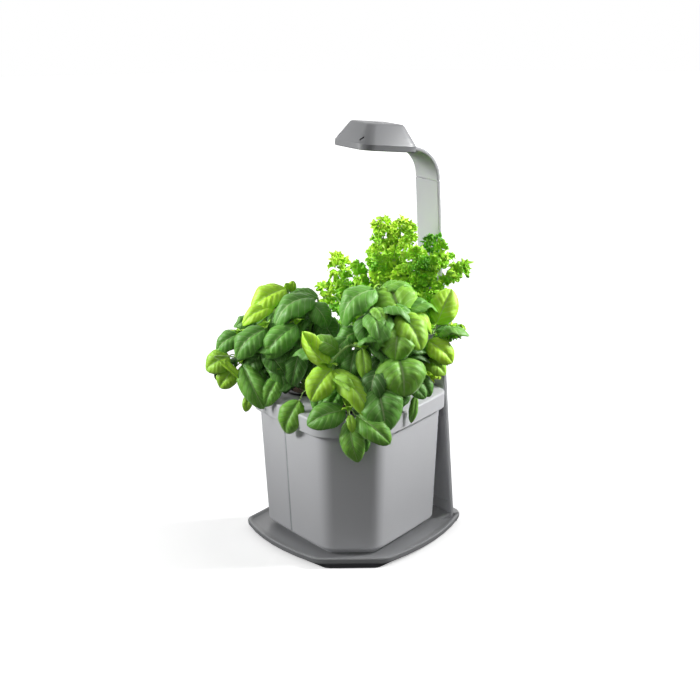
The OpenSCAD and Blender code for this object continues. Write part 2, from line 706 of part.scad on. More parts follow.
// The space of the pot, its lid, the cups' rims and the post, kept clear of leaves
module kept_clear() {
    for (k = [0:2]) at_cup(k) cylinder(r = cup_r + cup_flange + fit, h = top_z + seat + cup_rim + fit);
    loft([raised(plan(wider(collar_plan, 1.2)), 60), raised(plan(wider(collar_plan, 1.2)), top_z + 0.6)]);
    on_post() translate([-2 * pot_h, -post_gap, 0]) cube([4 * pot_h, 4 * pot_h, seam_s]);
}
module grown(k, a0, a1, root_r) {
    difference() {
        intersection() {
            children();
            wedge(a0, a1);
        }
        kept_clear();
    }
    at_cup(k) translate([0, 0, plug_z]) cylinder(r1 = root_r, r2 = root_r - 2, h = 8, $fn = 12);
}

module basil(k, shoots) {
    foot = concat(cup_reach * direction(corner_a(k)), [plug_z + 3]);
    for (i = [0:len(shoots) - 1]) {
        s = shoots[i];
        tip = polar(s[0], s[1], top_z + s[2]);
        points = bowed(foot, tip, 8);
        stem(points, 2.2, 1.4);
        for (j = [0:3])
            leaf(tip - [0, 0, 1.3 * j], s[0] + 45 + 88 * j, s[3], s[3] * 0.78, 7, s[4]);
    }
}

// Frilled leaflet: a small disc with a toothed edge
module leaflet(r) {
    linear_extrude(2.4, center = true) polygon([
        for (i = [0:9]) (i % 2 == 0 ? r : r * 0.62) * direction(36 * i)
    ]);
}
module parsley(k, shoots) {
    foot = concat(cup_reach * direction(corner_a(k)), [plug_z + 3]);
    for (i = [0:len(shoots) - 1]) {
        s = shoots[i];
        tip = polar(s[0], s[1], top_z + s[2]);
        stem(bowed(foot, tip, 6), 1.8, 1.2);
        for (j = [0:2]) translate(tip + polar(s[0] + 120 * j, 8, 3 - 3 * j))
            rotate([25 * cos(120 * j + 40 * i), 25 * sin(120 * j + 60 * i), 30 * j]) leaflet(13);
    }
}

module parsley_back() {
    color("#86c72c") grown(POST, sector[0], sector[1], crown_r + 1) parsley(POST, parsley_shoots);
}
module basil_left() {
    color("#4d8a35") grown(LEFT, sector[1], sector[2], crown_r) basil(LEFT, left_shoots);
}
module basil_right() {
    color("#4d8a35") grown(RIGHT, sector[2] - 360, sector[0], crown_r) basil(RIGHT, right_shoots);
}

base_pad();
tray();
lamp_post();
foot_screws();
post_cover();
post_screws();
power_inlet();
upper_arm();
arm_cover();
arm_tongue();
lamp_housing();
lamp_diffuser();
led_board();
leds();
heat_sink();
driver_board();
lamp_screws();
power_button();
pot_shell();
water_gauge();
pot_lid();
cup(POST);  // cup_back
cup(LEFT);  // cup_left
cup(RIGHT);  // cup_right
grow_plug(POST);  // grow_plug_back
grow_plug(LEFT);  // grow_plug_left
grow_plug(RIGHT);  // grow_plug_right
parsley_back();
basil_left();
basil_right();
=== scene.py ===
# %% [markdown]
# # A countertop herb garden in Blender
#
# A cut-corner water pot stands in a tray, a flat post carries a small grow lamp over it, and basil and curly
# parsley grow in its lid. The hard pieces come from the CAD frame and keep their shapes. This lesson gives them
# their finishes, grows the plants in mesh code, and sets the camera and the light.

# %% Load the frame
import math

import bmesh
import bpy
import numpy as np
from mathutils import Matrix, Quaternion, Vector, noise
from mathutils.bvhtree import BVHTree


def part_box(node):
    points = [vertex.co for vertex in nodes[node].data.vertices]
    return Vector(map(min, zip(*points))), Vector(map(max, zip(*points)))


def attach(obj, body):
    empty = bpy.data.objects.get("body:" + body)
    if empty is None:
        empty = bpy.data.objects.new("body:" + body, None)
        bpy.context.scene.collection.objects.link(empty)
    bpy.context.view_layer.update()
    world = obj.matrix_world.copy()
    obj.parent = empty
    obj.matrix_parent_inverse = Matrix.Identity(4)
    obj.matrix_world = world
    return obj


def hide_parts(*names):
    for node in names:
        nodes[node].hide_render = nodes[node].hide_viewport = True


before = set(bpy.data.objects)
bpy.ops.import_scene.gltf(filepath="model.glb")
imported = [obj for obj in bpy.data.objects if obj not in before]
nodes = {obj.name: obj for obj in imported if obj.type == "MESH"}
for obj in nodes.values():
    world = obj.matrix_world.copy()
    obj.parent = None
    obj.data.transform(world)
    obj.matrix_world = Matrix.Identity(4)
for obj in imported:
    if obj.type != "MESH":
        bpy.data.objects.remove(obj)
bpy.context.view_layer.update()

# %% [markdown]
# Sizes are easier to think about in millimetres, so lengths are written in them and turned to metres by one
# factor. Colours are written as the sRGB hex values that a picture editor shows. A shader wants linear light,
# so one function turns them. Another adds a node with its settings and its links, which keeps every material
# short enough to read.

# %% Units, colours and nodes
MM = 0.001


def linear(code, alpha=1.0):
    """The linear colour of an sRGB hex value such as 7CC41E."""
    parts = [int(code[i:i + 2], 16) / 255 for i in (0, 2, 4)]
    return tuple(p / 12.92 if p <= 0.04045 else ((p + 0.055) / 1.055) ** 2.4 for p in parts) + (alpha,)


def add(tree, kind, sockets=None, **settings):
    """Adds a node: settings are its own choices, sockets are values or links for its inputs."""
    made = tree.nodes.new(kind)
    for name, value in settings.items():
        setattr(made, name, value)
    for name, value in (sockets or {}).items():
        if isinstance(value, bpy.types.NodeSocket):
            tree.links.new(value, made.inputs[name])
        else:
            made.inputs[name].default_value = value
    return made


def new_material(name):
    """A material with an empty tree and its coordinates in metres of the object."""
    material = bpy.data.materials.new(name)
    material.use_nodes = True
    tree = material.node_tree
    tree.nodes.clear()
    place = add(tree, "ShaderNodeTexCoord").outputs["Object"]
    return material, tree, place


def finish_with(tree, shader):
    """Links a shader to the material's output."""
    add(tree, "ShaderNodeOutputMaterial", {"Surface": shader})


print("a mid grey, #808080, is", round(linear("808080")[0], 3), "in linear light")

# %% [markdown]
# The camera stands where the photographer stood: about 2 m away, to the right of the front corner and a
# little above the pot. The direction that it looks in gives a second set of axes, across the picture, towards
# the viewer and up. Leaves that the photograph shows are placed along those.

# %% The camera
camera_data = bpy.data.cameras.new("camera")
camera_data.sensor_width = 36
camera_data.lens = 95.0
camera = bpy.data.objects.new("camera", camera_data)
bpy.context.collection.objects.link(camera)
camera.location = (1.6546, -0.9702, 0.6598)
HEADING, LOOK_DOWN, ROLL = 2.611, 0.2327, -0.0081
look = Vector((math.cos(HEADING) * math.cos(LOOK_DOWN), math.sin(HEADING) * math.cos(LOOK_DOWN),
               -math.sin(LOOK_DOWN)))
camera.rotation_euler = (look.to_track_quat("-Z", "Y") @ Quaternion((0, 0, 1), ROLL)).to_euler()
bpy.context.scene.camera = camera

ACROSS = np.array((0.515, 0.857, 0.0))
TOWARDS = np.array((0.857, -0.515, 0.0))
UP = np.array((0.0, 0.0, 1.0))


def seen(across, towards, up):
    """A place or a direction, in mm of the photographer's view, as a place or direction of the model."""
    return (ACROSS * across + TOWARDS * towards + UP * up) * MM


print("camera", round(camera.location.length, 3), "m from the pot's foot")

# %% [markdown]
# Two softboxes stand far round to the left and right of the camera, so the pot's two side faces are light and the
# cut corner between them is darker, as in the photograph. Grids narrow their beams, which are aimed above the lid,
# so the light falls off towards the tray. A larger and weaker softbox hangs overhead.
# The background is white for camera rays, and for glossy and transmitted rays too, so that gloss shows the same
# studio. The light that the world gives the object stays pale and low.

# %% Light and background
scene = bpy.context.scene
scene.view_settings.view_transform = "Standard"
world = bpy.data.worlds.new("studio")
scene.world = world
world.use_nodes = True
world.node_tree.nodes.clear()
WORLD_LEVEL = 0.32
AIM_HEIGHT = 0.27


def seen_by_camera(tree, with_gloss=True):
    """1 for rays from the camera, and with gloss also for glossy and transmitted rays."""
    path = add(tree, "ShaderNodeLightPath")
    if not with_gloss:
        return path.outputs["Is Camera Ray"]
    both = add(tree, "ShaderNodeMath", {0: path.outputs["Is Camera Ray"], 1: path.outputs["Is Glossy Ray"]},
               operation="MAXIMUM")
    return add(tree, "ShaderNodeMath", {0: both.outputs[0], 1: path.outputs["Is Transmission Ray"]},
               operation="MAXIMUM").outputs[0]


dim = add(world.node_tree, "ShaderNodeBackground", {"Color": linear("FFFFFF"), "Strength": WORLD_LEVEL})
white = add(world.node_tree, "ShaderNodeBackground", {"Color": linear("FFFFFF"), "Strength": 1.0})
mixed = add(world.node_tree, "ShaderNodeMixShader",
            {0: seen_by_camera(world.node_tree), 1: dim.outputs[0], 2: white.outputs[0]})
add(world.node_tree, "ShaderNodeOutputWorld", {"Surface": mixed.outputs[0]})


def softbox(name, azimuth, distance, height, size, power, spread=180):
    """A soft area lamp at an azimuth round the pot, aimed above the lid; a grid narrows it to a spread."""
    lamp = bpy.data.lights.new(name, "AREA")
    lamp.shape = "RECTANGLE"
    lamp.size, lamp.size_y = size
    lamp.energy = power
    lamp.spread = math.radians(spread)
    stand = bpy.data.objects.new(name, lamp)
    bpy.context.collection.objects.link(stand)
    angle = math.radians(azimuth)
    stand.location = (distance * math.cos(angle), distance * math.sin(angle), height)
    stand.visible_camera = False
    aim = Vector((0, 0, AIM_HEIGHT)) - stand.location
    stand.rotation_euler = aim.to_track_quat("-Z", "Y").to_euler()


softbox("left softbox", -118, 0.95, 0.6, (0.35, 0.35), 0.7, spread=34)
softbox("right softbox", 68, 0.9, 0.75, (0.35, 0.35), 1.05, spread=34)
softbox("top softbox", 150, 0.35, 1.5, (0.9, 0.9), 0.7)

# %% [markdown]
# The floor is a wide pale disc of matt paint that takes the shadow of the tray. For camera rays it is white and
# glows, a little beside the object and fully at arm's length, so it runs into the white background. Its bounce light
# comes from a plainer grey, which keeps the lower half of the pot as dark as it is in the photograph.

# %% Floor
FLOOR_RADIUS = 6.0
floor_mesh = bpy.data.meshes.new("floor")
rim = bmesh.new()
bmesh.ops.create_circle(rim, cap_ends=True, radius=FLOOR_RADIUS, segments=64)
rim.to_mesh(floor_mesh)
rim.free()
floor = bpy.data.objects.new("floor", floor_mesh)
bpy.context.collection.objects.link(floor)
floor.location.z = -0.0002
floor_paint, tree, place = new_material("matt white paint")
seen_floor = seen_by_camera(tree, with_gloss=False)
floor_tint = add(tree, "ShaderNodeMix", {"Factor": seen_floor, "A": linear("707070"), "B": linear("F4F4F4")},
                 data_type="RGBA")
far = add(tree, "ShaderNodeVectorMath", {0: place}, operation="LENGTH")
level = add(tree, "ShaderNodeMapRange", {"Value": far.outputs["Value"], "From Min": 0.15, "From Max": 0.45,
                                         "To Min": 0.5, "To Max": 1.0})
glow = add(tree, "ShaderNodeMath", {0: seen_floor, 1: level.outputs[0]}, operation="MULTIPLY")
paint = add(tree, "ShaderNodeBsdfPrincipled", {
    "Base Color": floor_tint.outputs["Result"], "Roughness": 0.9, "Emission Color": linear("FFFFFF"),
    "Emission Strength": glow.outputs[0]})
finish_with(tree, paint.outputs[0])
floor_mesh.materials.append(floor_paint)
print("floor", 2 * FLOOR_RADIUS, "m across")

# %% [markdown]
# The pot, lid, tray, post and lamp head are injection moulded ABS, a tough plastic with a satin skin. The mould
# is lightly spark-eroded, which leaves a grain of about half a millimetre, and the flow of the plastic leaves
# very faint clouds. One function makes the material, and each piece gets its own grey. The tray's darker grey is
# partly its own and partly painted shade for the dish round the pot.

# %% Moulded ABS
GRAIN_MM = 0.55
CLOUD_MM = 60


def per_metre(size_mm):
    """The scale of a texture whose features are size_mm apart."""
    return 1 / (size_mm * MM)


def moulded_abs(name, light, dark, roughness=0.42, grain_height=0.02):
    """Satin moulded ABS: clouds between two close greys, and the fine grain of the mould."""
    material, tree, place = new_material(name)
    clouds = add(tree, "ShaderNodeTexNoise", {"Vector": place, "Scale": per_metre(CLOUD_MM), "Detail": 3.0})
    shade = add(tree, "ShaderNodeMix", {"Factor": clouds.outputs[0], "A": linear(dark), "B": linear(light)},
                data_type="RGBA")
    grain = add(tree, "ShaderNodeTexNoise", {"Vector": place, "Scale": per_metre(GRAIN_MM), "Detail": 2.0})
    skin = add(tree, "ShaderNodeBump", {"Height": grain.outputs[0], "Distance": grain_height * MM,
                                        "Strength": 0.5})
    gloss = add(tree, "ShaderNodeMapRange", {"Value": grain.outputs[0], "To Min": roughness - 0.04,
                                             "To Max": roughness + 0.04})
    body = add(tree, "ShaderNodeBsdfPrincipled", {
        "Base Color": shade.outputs["Result"], "Roughness": gloss.outputs[0], "IOR": 1.5,
        "Normal": skin.outputs[0]})
    finish_with(tree, body.outputs[0])
    return material


pot_abs = moulded_abs("moulded ABS pot grey", "CACBCD", "C4C5C8")
lid_abs = moulded_abs("moulded ABS lid grey", "C6C7C9", "C0C1C4")
# The tray's darker grey is partly its own and partly painted shade for its dish round the pot.
tray_abs_with_painted_shade = moulded_abs("moulded ABS tray grey with painted shade", "98999B", "929395", 0.34)
post_abs = moulded_abs("moulded ABS post grey", "BEBFC1", "B7B8BB")
head_abs = moulded_abs("moulded ABS head grey", "7C7D7F", "767779")
button_abs = moulded_abs("moulded ABS button grey", "969799", "909193", 0.35)
cup_abs = moulded_abs("moulded polypropylene black", "2A2B2D", "232426", 0.5)
print("grain", GRAIN_MM, "mm, clouds", CLOUD_MM, "mm")

# %% [markdown]
# The smaller finishes: the rubber pad, the frosted acrylic of the diffuser, the clear acrylic of the gauge,
# brushed steel for the tongue, turned steel for screws, extruded aluminium for the heat sink, solder mask on
# the two boards, the LEDs' phosphor and the black nylon inlet.

# %% Rubber, nylon and acrylic
rubber, tree, place = new_material("moulded rubber")
crumb = add(tree, "ShaderNodeTexVoronoi", {"Vector": place, "Scale": per_metre(1.2)})
crumb_bump = add(tree, "ShaderNodeBump", {"Height": crumb.outputs[0], "Distance": 0.1 * MM, "Strength": 0.6})
rubber_tint = add(tree, "ShaderNodeMix", {"Factor": crumb.outputs[0], "A": linear("2B2C2E"),
                                          "B": linear("36373A")}, data_type="RGBA")
rubber_body = add(tree, "ShaderNodeBsdfPrincipled", {
    "Base Color": rubber_tint.outputs["Result"], "Roughness": 0.85, "IOR": 1.52, "Normal": crumb_bump.outputs[0]})
finish_with(tree, rubber_body.outputs[0])
nylon = moulded_abs("moulded nylon black", "232426", "1B1C1E", 0.55)


def acrylic(name, tint, deep, roughness, transmission, ripple_mm):
    """Moulded or frosted acrylic: a faint ripple in its tint and skin over clear plastic."""
    material, tree, place = new_material(name)
    ripple = add(tree, "ShaderNodeTexNoise", {"Vector": place, "Scale": per_metre(ripple_mm), "Detail": 2.0})
    shade = add(tree, "ShaderNodeMix", {"Factor": ripple.outputs[0], "A": linear(deep), "B": linear(tint)},
                data_type="RGBA")
    skin = add(tree, "ShaderNodeBump", {"Height": ripple.outputs[0], "Distance": 0.03 * MM, "Strength": 0.4})
    body = add(tree, "ShaderNodeBsdfPrincipled", {
        "Base Color": shade.outputs["Result"], "Roughness": roughness, "IOR": 1.49,
        "Transmission Weight": transmission, "Normal": skin.outputs[0]})
    finish_with(tree, body.outputs[0])
    return material


frosted_acrylic = acrylic("frosted acrylic", "F4F6F4", "ECEFEC", 0.6, 0.25, 0.8)
gauge_acrylic = acrylic("moulded acrylic", "D4D8DA", "C4C9CC", 0.12, 0.35, 6.0)
print("rubber, nylon and two acrylics made")

# %% [markdown]
# A brushed or extruded metal carries fine straight lines. Noise that is stretched along one axis gives them:
# its scale is small along the stroke and large across it.

# %% Metals
def lined_metal(name, light, dark, roughness, line_mm, stroke_mm, along):
    """Metal with fine straight lines along one axis: 0, 1 or 2 for x, y or z."""
    material, tree, place = new_material(name)
    scale = [per_metre(line_mm)] * 3
    scale[along] = per_metre(stroke_mm)
    stretched = add(tree, "ShaderNodeMapping", {"Vector": place, "Scale": scale})
    lines = add(tree, "ShaderNodeTexNoise", {"Vector": stretched.outputs[0], "Scale": 1.0, "Detail": 4.0})
    shade = add(tree, "ShaderNodeMix", {"Factor": lines.outputs[0], "A": linear(dark), "B": linear(light)},
                data_type="RGBA")
    gloss = add(tree, "ShaderNodeMapRange", {"Value": lines.outputs[0], "To Min": roughness - 0.08,
                                             "To Max": roughness + 0.08})
    skin = add(tree, "ShaderNodeBump", {"Height": lines.outputs[0], "Distance": 0.02 * MM, "Strength": 0.4})
    body = add(tree, "ShaderNodeBsdfPrincipled", {
        "Base Color": shade.outputs["Result"], "Metallic": 1.0, "Roughness": gloss.outputs[0],
        "Normal": skin.outputs[0]})
    finish_with(tree, body.outputs[0])
    return material


brushed_steel = lined_metal("brushed stainless steel", "C9C9CA", "B2B2B4", 0.32, 0.25, 30, 2)
turned_steel = lined_metal("turned zinc-plated steel", "C4C4C6", "A2A2A5", 0.35, 0.3, 4, 0)
extruded_aluminium = lined_metal("extruded aluminium", "DADADC", "C6C6C9", 0.4, 0.4, 60, 0)
print("three metals made")

# %% [markdown]
# The boards are glass-epoxy under solder mask, with faint copper traces showing through it as a grid, and the
# LEDs' yellow is the phosphor cast over each chip.

# %% Boards and LEDs
def solder_mask(name, mask, trace, pitch_mm):
    """Glossy solder mask with a grid of traces under it."""
    material, tree, place = new_material(name)
    grid = add(tree, "ShaderNodeTexBrick", {
        "Vector": place, "Scale": per_metre(pitch_mm) * 0.5, "Color1": linear(mask), "Color2": linear(mask),
        "Mortar": linear(trace), "Mortar Size": 0.04})
    body = add(tree, "ShaderNodeBsdfPrincipled", {"Base Color": grid.outputs[0], "Roughness": 0.28, "IOR": 1.55})
    finish_with(tree, body.outputs[0])
    return material


white_board = solder_mask("white solder mask", "EDEDE8", "DDDDD4", 4.0)
green_board = solder_mask("green solder mask", "1F6A3A", "3F8F55", 2.5)
phosphor, tree, place = new_material("cast LED phosphor")
grit = add(tree, "ShaderNodeTexNoise", {"Vector": place, "Scale": per_metre(0.4)})
yellow = add(tree, "ShaderNodeMix", {"Factor": grit.outputs[0], "A": linear("E8C64A"), "B": linear("F6E08A")},
             data_type="RGBA")
dome = add(tree, "ShaderNodeBsdfPrincipled", {"Base Color": yellow.outputs["Result"], "Roughness": 0.25,
                                              "IOR": 1.41})
finish_with(tree, dome.outputs[0])

# %% [markdown]
# The frame's pieces come as facets, as CAD exports them. Their curved corners should look round, and their edges
# crisp. A small geometry node group does both without touching the shapes: it joins the facets' shared points and
# shades every edge smooth, apart from those that bend more than a limit.

# %% Smooth shading for the CAD pieces
SHARP_FROM = math.radians(24)
rounding = bpy.data.node_groups.new("smooth but for sharp edges", "GeometryNodeTree")
rounding.is_modifier = True
rounding.interface.new_socket("Geometry", in_out="INPUT", socket_type="NodeSocketGeometry")
rounding.interface.new_socket("Geometry", in_out="OUTPUT", socket_type="NodeSocketGeometry")
incoming = add(rounding, "NodeGroupInput")
joined = add(rounding, "GeometryNodeMergeByDistance", {"Geometry": incoming.outputs[0], "Distance": 0.002 * MM})
soft = add(rounding, "GeometryNodeSetShadeSmooth", {"Geometry": joined.outputs[0], "Shade Smooth": True},
           domain="FACE")
bend = add(rounding, "GeometryNodeInputMeshEdgeAngle")
crisp = add(rounding, "FunctionNodeCompare", {"A": bend.outputs["Unsigned Angle"], "B": SHARP_FROM},
            data_type="FLOAT", operation="GREATER_THAN")
edged = add(rounding, "GeometryNodeSetShadeSmooth", {"Geometry": soft.outputs[0], "Selection": crisp.outputs[0],
                                                     "Shade Smooth": False}, domain="EDGE")
add(rounding, "NodeGroupOutput", {0: edged.outputs[0]})


def round_off(piece):
    """Smooth shading with crisp edges, as a modifier."""
    if "custom_normal" in piece.data.attributes:
        piece.data.attributes.remove(piece.data.attributes["custom_normal"])
    piece.modifiers.new("smooth but for sharp edges", "NODES").node_group = rounding


# %% Dress the CAD pieces
finishes = {
    "base_pad": rubber, "tray": tray_abs_with_painted_shade, "lamp_post": post_abs, "foot_screws": turned_steel,
    "post_cover": post_abs, "post_screws": turned_steel, "power_inlet": nylon, "upper_arm": post_abs,
    "arm_cover": post_abs, "arm_tongue": brushed_steel, "lamp_housing": head_abs,
    "lamp_diffuser": frosted_acrylic, "led_board": white_board, "leds": phosphor,
    "heat_sink": extruded_aluminium, "driver_board": green_board, "lamp_screws": turned_steel,
    "power_button": button_abs, "pot_shell": pot_abs, "water_gauge": gauge_acrylic, "pot_lid": lid_abs,
    "cup_back": cup_abs, "cup_left": cup_abs, "cup_right": cup_abs,
}
for name, finish in finishes.items():
    nodes[name].data.materials.clear()
    nodes[name].data.materials.append(finish)
    round_off(nodes[name])
print(len(finishes), "CAD pieces dressed")

# %% [markdown]
# ## The plants
#
# A leaf is a thin curved sheet. It could be sculpted, or cut from a plane and bent by modifiers. Here it is a
# grid of points worked out with a formula, because then every leaf has its own size, fold and droop while all
# share one build. A piece of the plant collects many such sheets into one mesh. Each sheet also carries how far
# along and across the leaf a point lies, for the veins, and a tone, for how light that leaf is.

# %% Sheets and tubes
def unit(vector):
    """The vector at length 1."""
    return vector / max(float(np.linalg.norm(vector)), 1e-9)


class Foliage:
    """Grids of points that become one mesh, with UVs and a tone for each."""

    def __init__(self):
        self.points, self.faces, self.uvs, self.tones = [], [], [], []
        self.count = 0

    def sheet(self, grid, tone, closed=False):
        """Adds a grid of points. A closed one joins its last column to its first, as a tube does."""
        rows, columns = grid.shape[:2]
        index = np.arange(rows * columns).reshape(rows, columns) + self.count
        if closed:
            index = np.concatenate([index, index[:, :1]], axis=1)
        quads = np.stack([index[:-1, :-1], index[:-1, 1:], index[1:, 1:], index[1:, :-1]], axis=-1)
        self.faces.append(quads.reshape(-1, 4))
        self.points.append(grid.reshape(-1, 3))
        along, across = np.meshgrid(np.linspace(0, 1, rows), np.linspace(0, 1, columns), indexing="ij")
        self.uvs.append(np.stack([along, across], axis=-1).reshape(-1, 2))
        self.tones.append(np.full(rows * columns, tone))
        self.count += rows * columns

    def to_object(self, name, material):
        """The collected sheets as one smooth mesh object."""
        points = np.concatenate(self.points)
        faces = np.concatenate(self.faces)
        mesh = bpy.data.meshes.new(name)
        mesh.from_pydata(points.tolist(), [], faces.tolist())
        uv = mesh.uv_layers.new(name="leaf")
        corner = np.zeros(len(mesh.loops), dtype=np.int32)
        mesh.loops.foreach_get("vertex_index", corner)
        uv.data.foreach_set("uv", np.concatenate(self.uvs)[corner].astype(np.float32).ravel())
        tone = mesh.attributes.new("tone", "FLOAT", "POINT")
        tone.data.foreach_set("value", np.concatenate(self.tones).astype(np.float32))
        mesh.shade_smooth()
        mesh.materials.append(material)
        piece = bpy.data.objects.new(name, mesh)
        bpy.context.collection.objects.link(piece)
        return piece


def smooth_path(corners, steps=8):
    """A smooth line of points through the corners (a Catmull-Rom spline)."""
    corners = [np.asarray(c, dtype=float) for c in corners]
    ends = [2 * corners[0] - corners[1]] + corners + [2 * corners[-1] - corners[-2]]
    line = []
    for a, b, c, d in zip(ends, ends[1:], ends[2:], ends[3:]):
        for t in np.arange(steps) / steps:
            line.append(0.5 * (2 * b + (c - a) * t + (2 * a - 5 * b + 4 * c - d) * t ** 2
                               + (3 * b - a - 3 * c + d) * t ** 3))
    return np.array(line + [corners[-1]])


def tube(foliage, line, start, end, tone, sides=7):
    """A tapering round stalk along a line, closed at both ends by a near-point."""
    steps = np.gradient(line, axis=0)
    steps = steps / np.maximum(np.linalg.norm(steps, axis=1, keepdims=True), 1e-9)
    helper = np.array((0.31, 0.95, 0.05))
    first = np.cross(steps, helper)
    first = first / np.maximum(np.linalg.norm(first, axis=1, keepdims=True), 1e-9)
    second = np.cross(steps, first)
    turn = np.arange(sides) / sides * 2 * math.pi
    radii = np.linspace(start, end, len(line)) * MM
    radii = np.concatenate([[0.05 * MM], radii, [0.05 * MM]])
    line = np.concatenate([line[:1], line, line[-1:]])
    first = np.concatenate([first[:1], first, first[-1:]])
    second = np.concatenate([second[:1], second, second[-1:]])
    ring = first[:, None] * np.cos(turn)[None, :, None] + second[:, None] * np.sin(turn)[None, :, None]
    foliage.sheet(line[:, None] + ring * radii[:, None, None], tone, closed=True)


print("a sheet is a grid of points, a tube is a closed sheet")

# %% [markdown]
# A basil leaf is an oval with a drawn-out tip. Its midrib lies in a groove, the two halves swell beside it, and
# six or seven curved side veins quilt each half. Some leaves are cupped, some roll up along the midrib, and most
# droop at the tip. All of these are terms of one formula.

# %% The basil leaf
LEAF_ROWS, LEAF_COLUMNS = 30, 15
SIDE_VEINS = 6.5
VEIN_SWEEP = 0.30


def basil_leaf(foliage, base, tip, face, width, tone=0.0, arch=0.14, roll=0.9, curl=0.12, sway=0.0, phase=0.0):
    """One leaf from its base to its tip. roll is how far the cross-section bends, in radians: above 0 the edges
    hang, below 0 they rise. arch lifts the middle of the midrib, curl turns the tip down, sway bends it
    sideways; each is a share of the leaf's length. Lengths are in metres, the width in mm."""
    t = np.linspace(0, 1, LEAF_ROWS)[:, None]
    v = np.linspace(-1, 1, LEAF_COLUMNS)[None, :]
    side = np.abs(v)
    length = float(np.linalg.norm(tip - base))
    ex = unit(tip - base)
    ez = unit(face - np.dot(face, ex) * ex)
    ey = np.cross(ez, ex)
    outline = 2.16 * t ** 0.50 * (1 - t) ** 0.62
    teeth = 1 + 0.018 * np.sin(2 * math.pi * 13 * t + phase)
    half = np.maximum(width * MM / 2 * outline * teeth, 0.35 * MM)
    bend = roll / 2 if abs(roll) > 0.05 else 0.025
    across = half * np.sin(v * bend) / bend
    drop = -half * (1 - np.cos(v * bend)) / bend
    swell = 0.62 * half * side * (1 - side) - 0.05 * half * np.exp(-(v / 0.10) ** 2)
    quilt = 0.14 * half * np.sin(math.pi * SIDE_VEINS * (t - VEIN_SWEEP * side)) ** 2 * side ** 0.5 * (1 - side ** 3)
    wave = half * (0.08 * v ** 2 * np.sin(2 * math.pi * 2.6 * t + phase + 1.3 * v)
                   + 0.10 * v * np.sin(2 * math.pi * 1.1 * t + 2.3 * phase))
    midrib = length * (4 * arch * t * (1 - t) - curl * np.clip((t - 0.55) / 0.45, 0, 1) ** 2)
    shift = 4 * sway * length * t * (1 - t)
    grid = (base + ex * (length * t)[..., None] + ey * (across + shift)[..., None]
            + ez * (drop + swell + quilt + wave + midrib)[..., None])
    foliage.sheet(grid, tone)
    start = unit(grid[3, LEAF_COLUMNS // 2] - grid[0, LEAF_COLUMNS // 2])
    return grid, start


print("a basil leaf has", (LEAF_ROWS - 1) * (LEAF_COLUMNS - 1), "faces a side")

# %% [markdown]
# Basil's skin is waxy with a broad sheen, a deep green above and paler along the veins. The veins are drawn from the
# leaf's own coordinates, and fine blisters between them, about 1.5 mm across, come from noise.

# %% Basil leaf material
def leaf_material(name, dark, middle, bright, vein, roughness, blister_mm, veins=True):
    """A waxy leaf: its tone picks the green, its coordinates draw the veins."""
    material, tree, place = new_material(name)
    tone = add(tree, "ShaderNodeAttribute", attribute_name="tone").outputs["Fac"]
    mottle = add(tree, "ShaderNodeTexNoise", {"Vector": place, "Scale": per_metre(9), "Detail": 3.0})
    shift = add(tree, "ShaderNodeMath", {0: mottle.outputs[0], 1: 0.5, 2: tone}, operation="MULTIPLY_ADD")
    ramp = add(tree, "ShaderNodeValToRGB", {"Fac": add(tree, "ShaderNodeMapRange", {
        "Value": shift.outputs[0], "From Min": -0.85, "From Max": 1.2}).outputs[0]})
    ramp.color_ramp.elements[0].color = linear(dark)
    ramp.color_ramp.elements[1].color = linear(bright)
    ramp.color_ramp.elements.new(0.5).color = linear(middle)
    colour = ramp.outputs["Color"]
    blisters = add(tree, "ShaderNodeTexNoise", {"Vector": place, "Scale": per_metre(blister_mm), "Detail": 2.0})
    height = blisters.outputs[0]
    if veins:
        where = add(tree, "ShaderNodeSeparateXYZ", {0: add(tree, "ShaderNodeUVMap", uv_map="leaf").outputs[0]})
        side = add(tree, "ShaderNodeMath", {0: where.outputs["Y"], 1: 0.5}, operation="SUBTRACT")
        side = add(tree, "ShaderNodeMath", {0: side.outputs[0]}, operation="ABSOLUTE")
        midrib = add(tree, "ShaderNodeMapRange", {"Value": side.outputs[0], "From Min": 0.008, "From Max": 0.028,
                                                  "To Min": 0.5, "To Max": 0.0})
        swept = add(tree, "ShaderNodeMath", {0: side.outputs[0], 1: -2 * VEIN_SWEEP, 2: where.outputs["X"]},
                    operation="MULTIPLY_ADD")
        wobble = add(tree, "ShaderNodeMath", {0: mottle.outputs[0], 1: 0.05, 2: swept.outputs[0]},
                     operation="MULTIPLY_ADD")
        waves = add(tree, "ShaderNodeMath", {0: wobble.outputs[0], 1: 0.5 / SIDE_VEINS}, operation="PINGPONG")
        line = add(tree, "ShaderNodeMapRange", {"Value": waves.outputs[0], "From Min": 0.003, "From Max": 0.016,
                                                "To Min": 0.2, "To Max": 0.0})
        mask = add(tree, "ShaderNodeMath", {0: midrib.outputs[0], 1: line.outputs[0]}, operation="MAXIMUM")
        tinted = add(tree, "ShaderNodeMix", {"Factor": mask.outputs[0], "A": colour, "B": linear(vein)},
                     data_type="RGBA")
        colour = tinted.outputs["Result"]
        height = add(tree, "ShaderNodeMath", {0: mask.outputs[0], 1: -1.0, 2: height},
                     operation="MULTIPLY_ADD").outputs[0]
    skin = add(tree, "ShaderNodeBump", {"Height": height, "Distance": 0.35 * MM, "Strength": 0.6})
    body = add(tree, "ShaderNodeBsdfPrincipled", {
        "Base Color": colour, "Roughness": roughness, "IOR": 1.45, "Normal": skin.outputs[0],
        "Sheen Weight": 0.15, "Sheen Roughness": 0.4})
    finish_with(tree, body.outputs[0])
    return material


basil_skin = leaf_material("waxy basil leaf", "16400F", "66A63A", "B6EC34", "CDE2A8", 0.5, 1.5)
basil_stalk = leaf_material("basil stalk", "5E8F3A", "8FBE5C", "C4E08A", "C4E08A", 0.45, 1.0, veins=False)

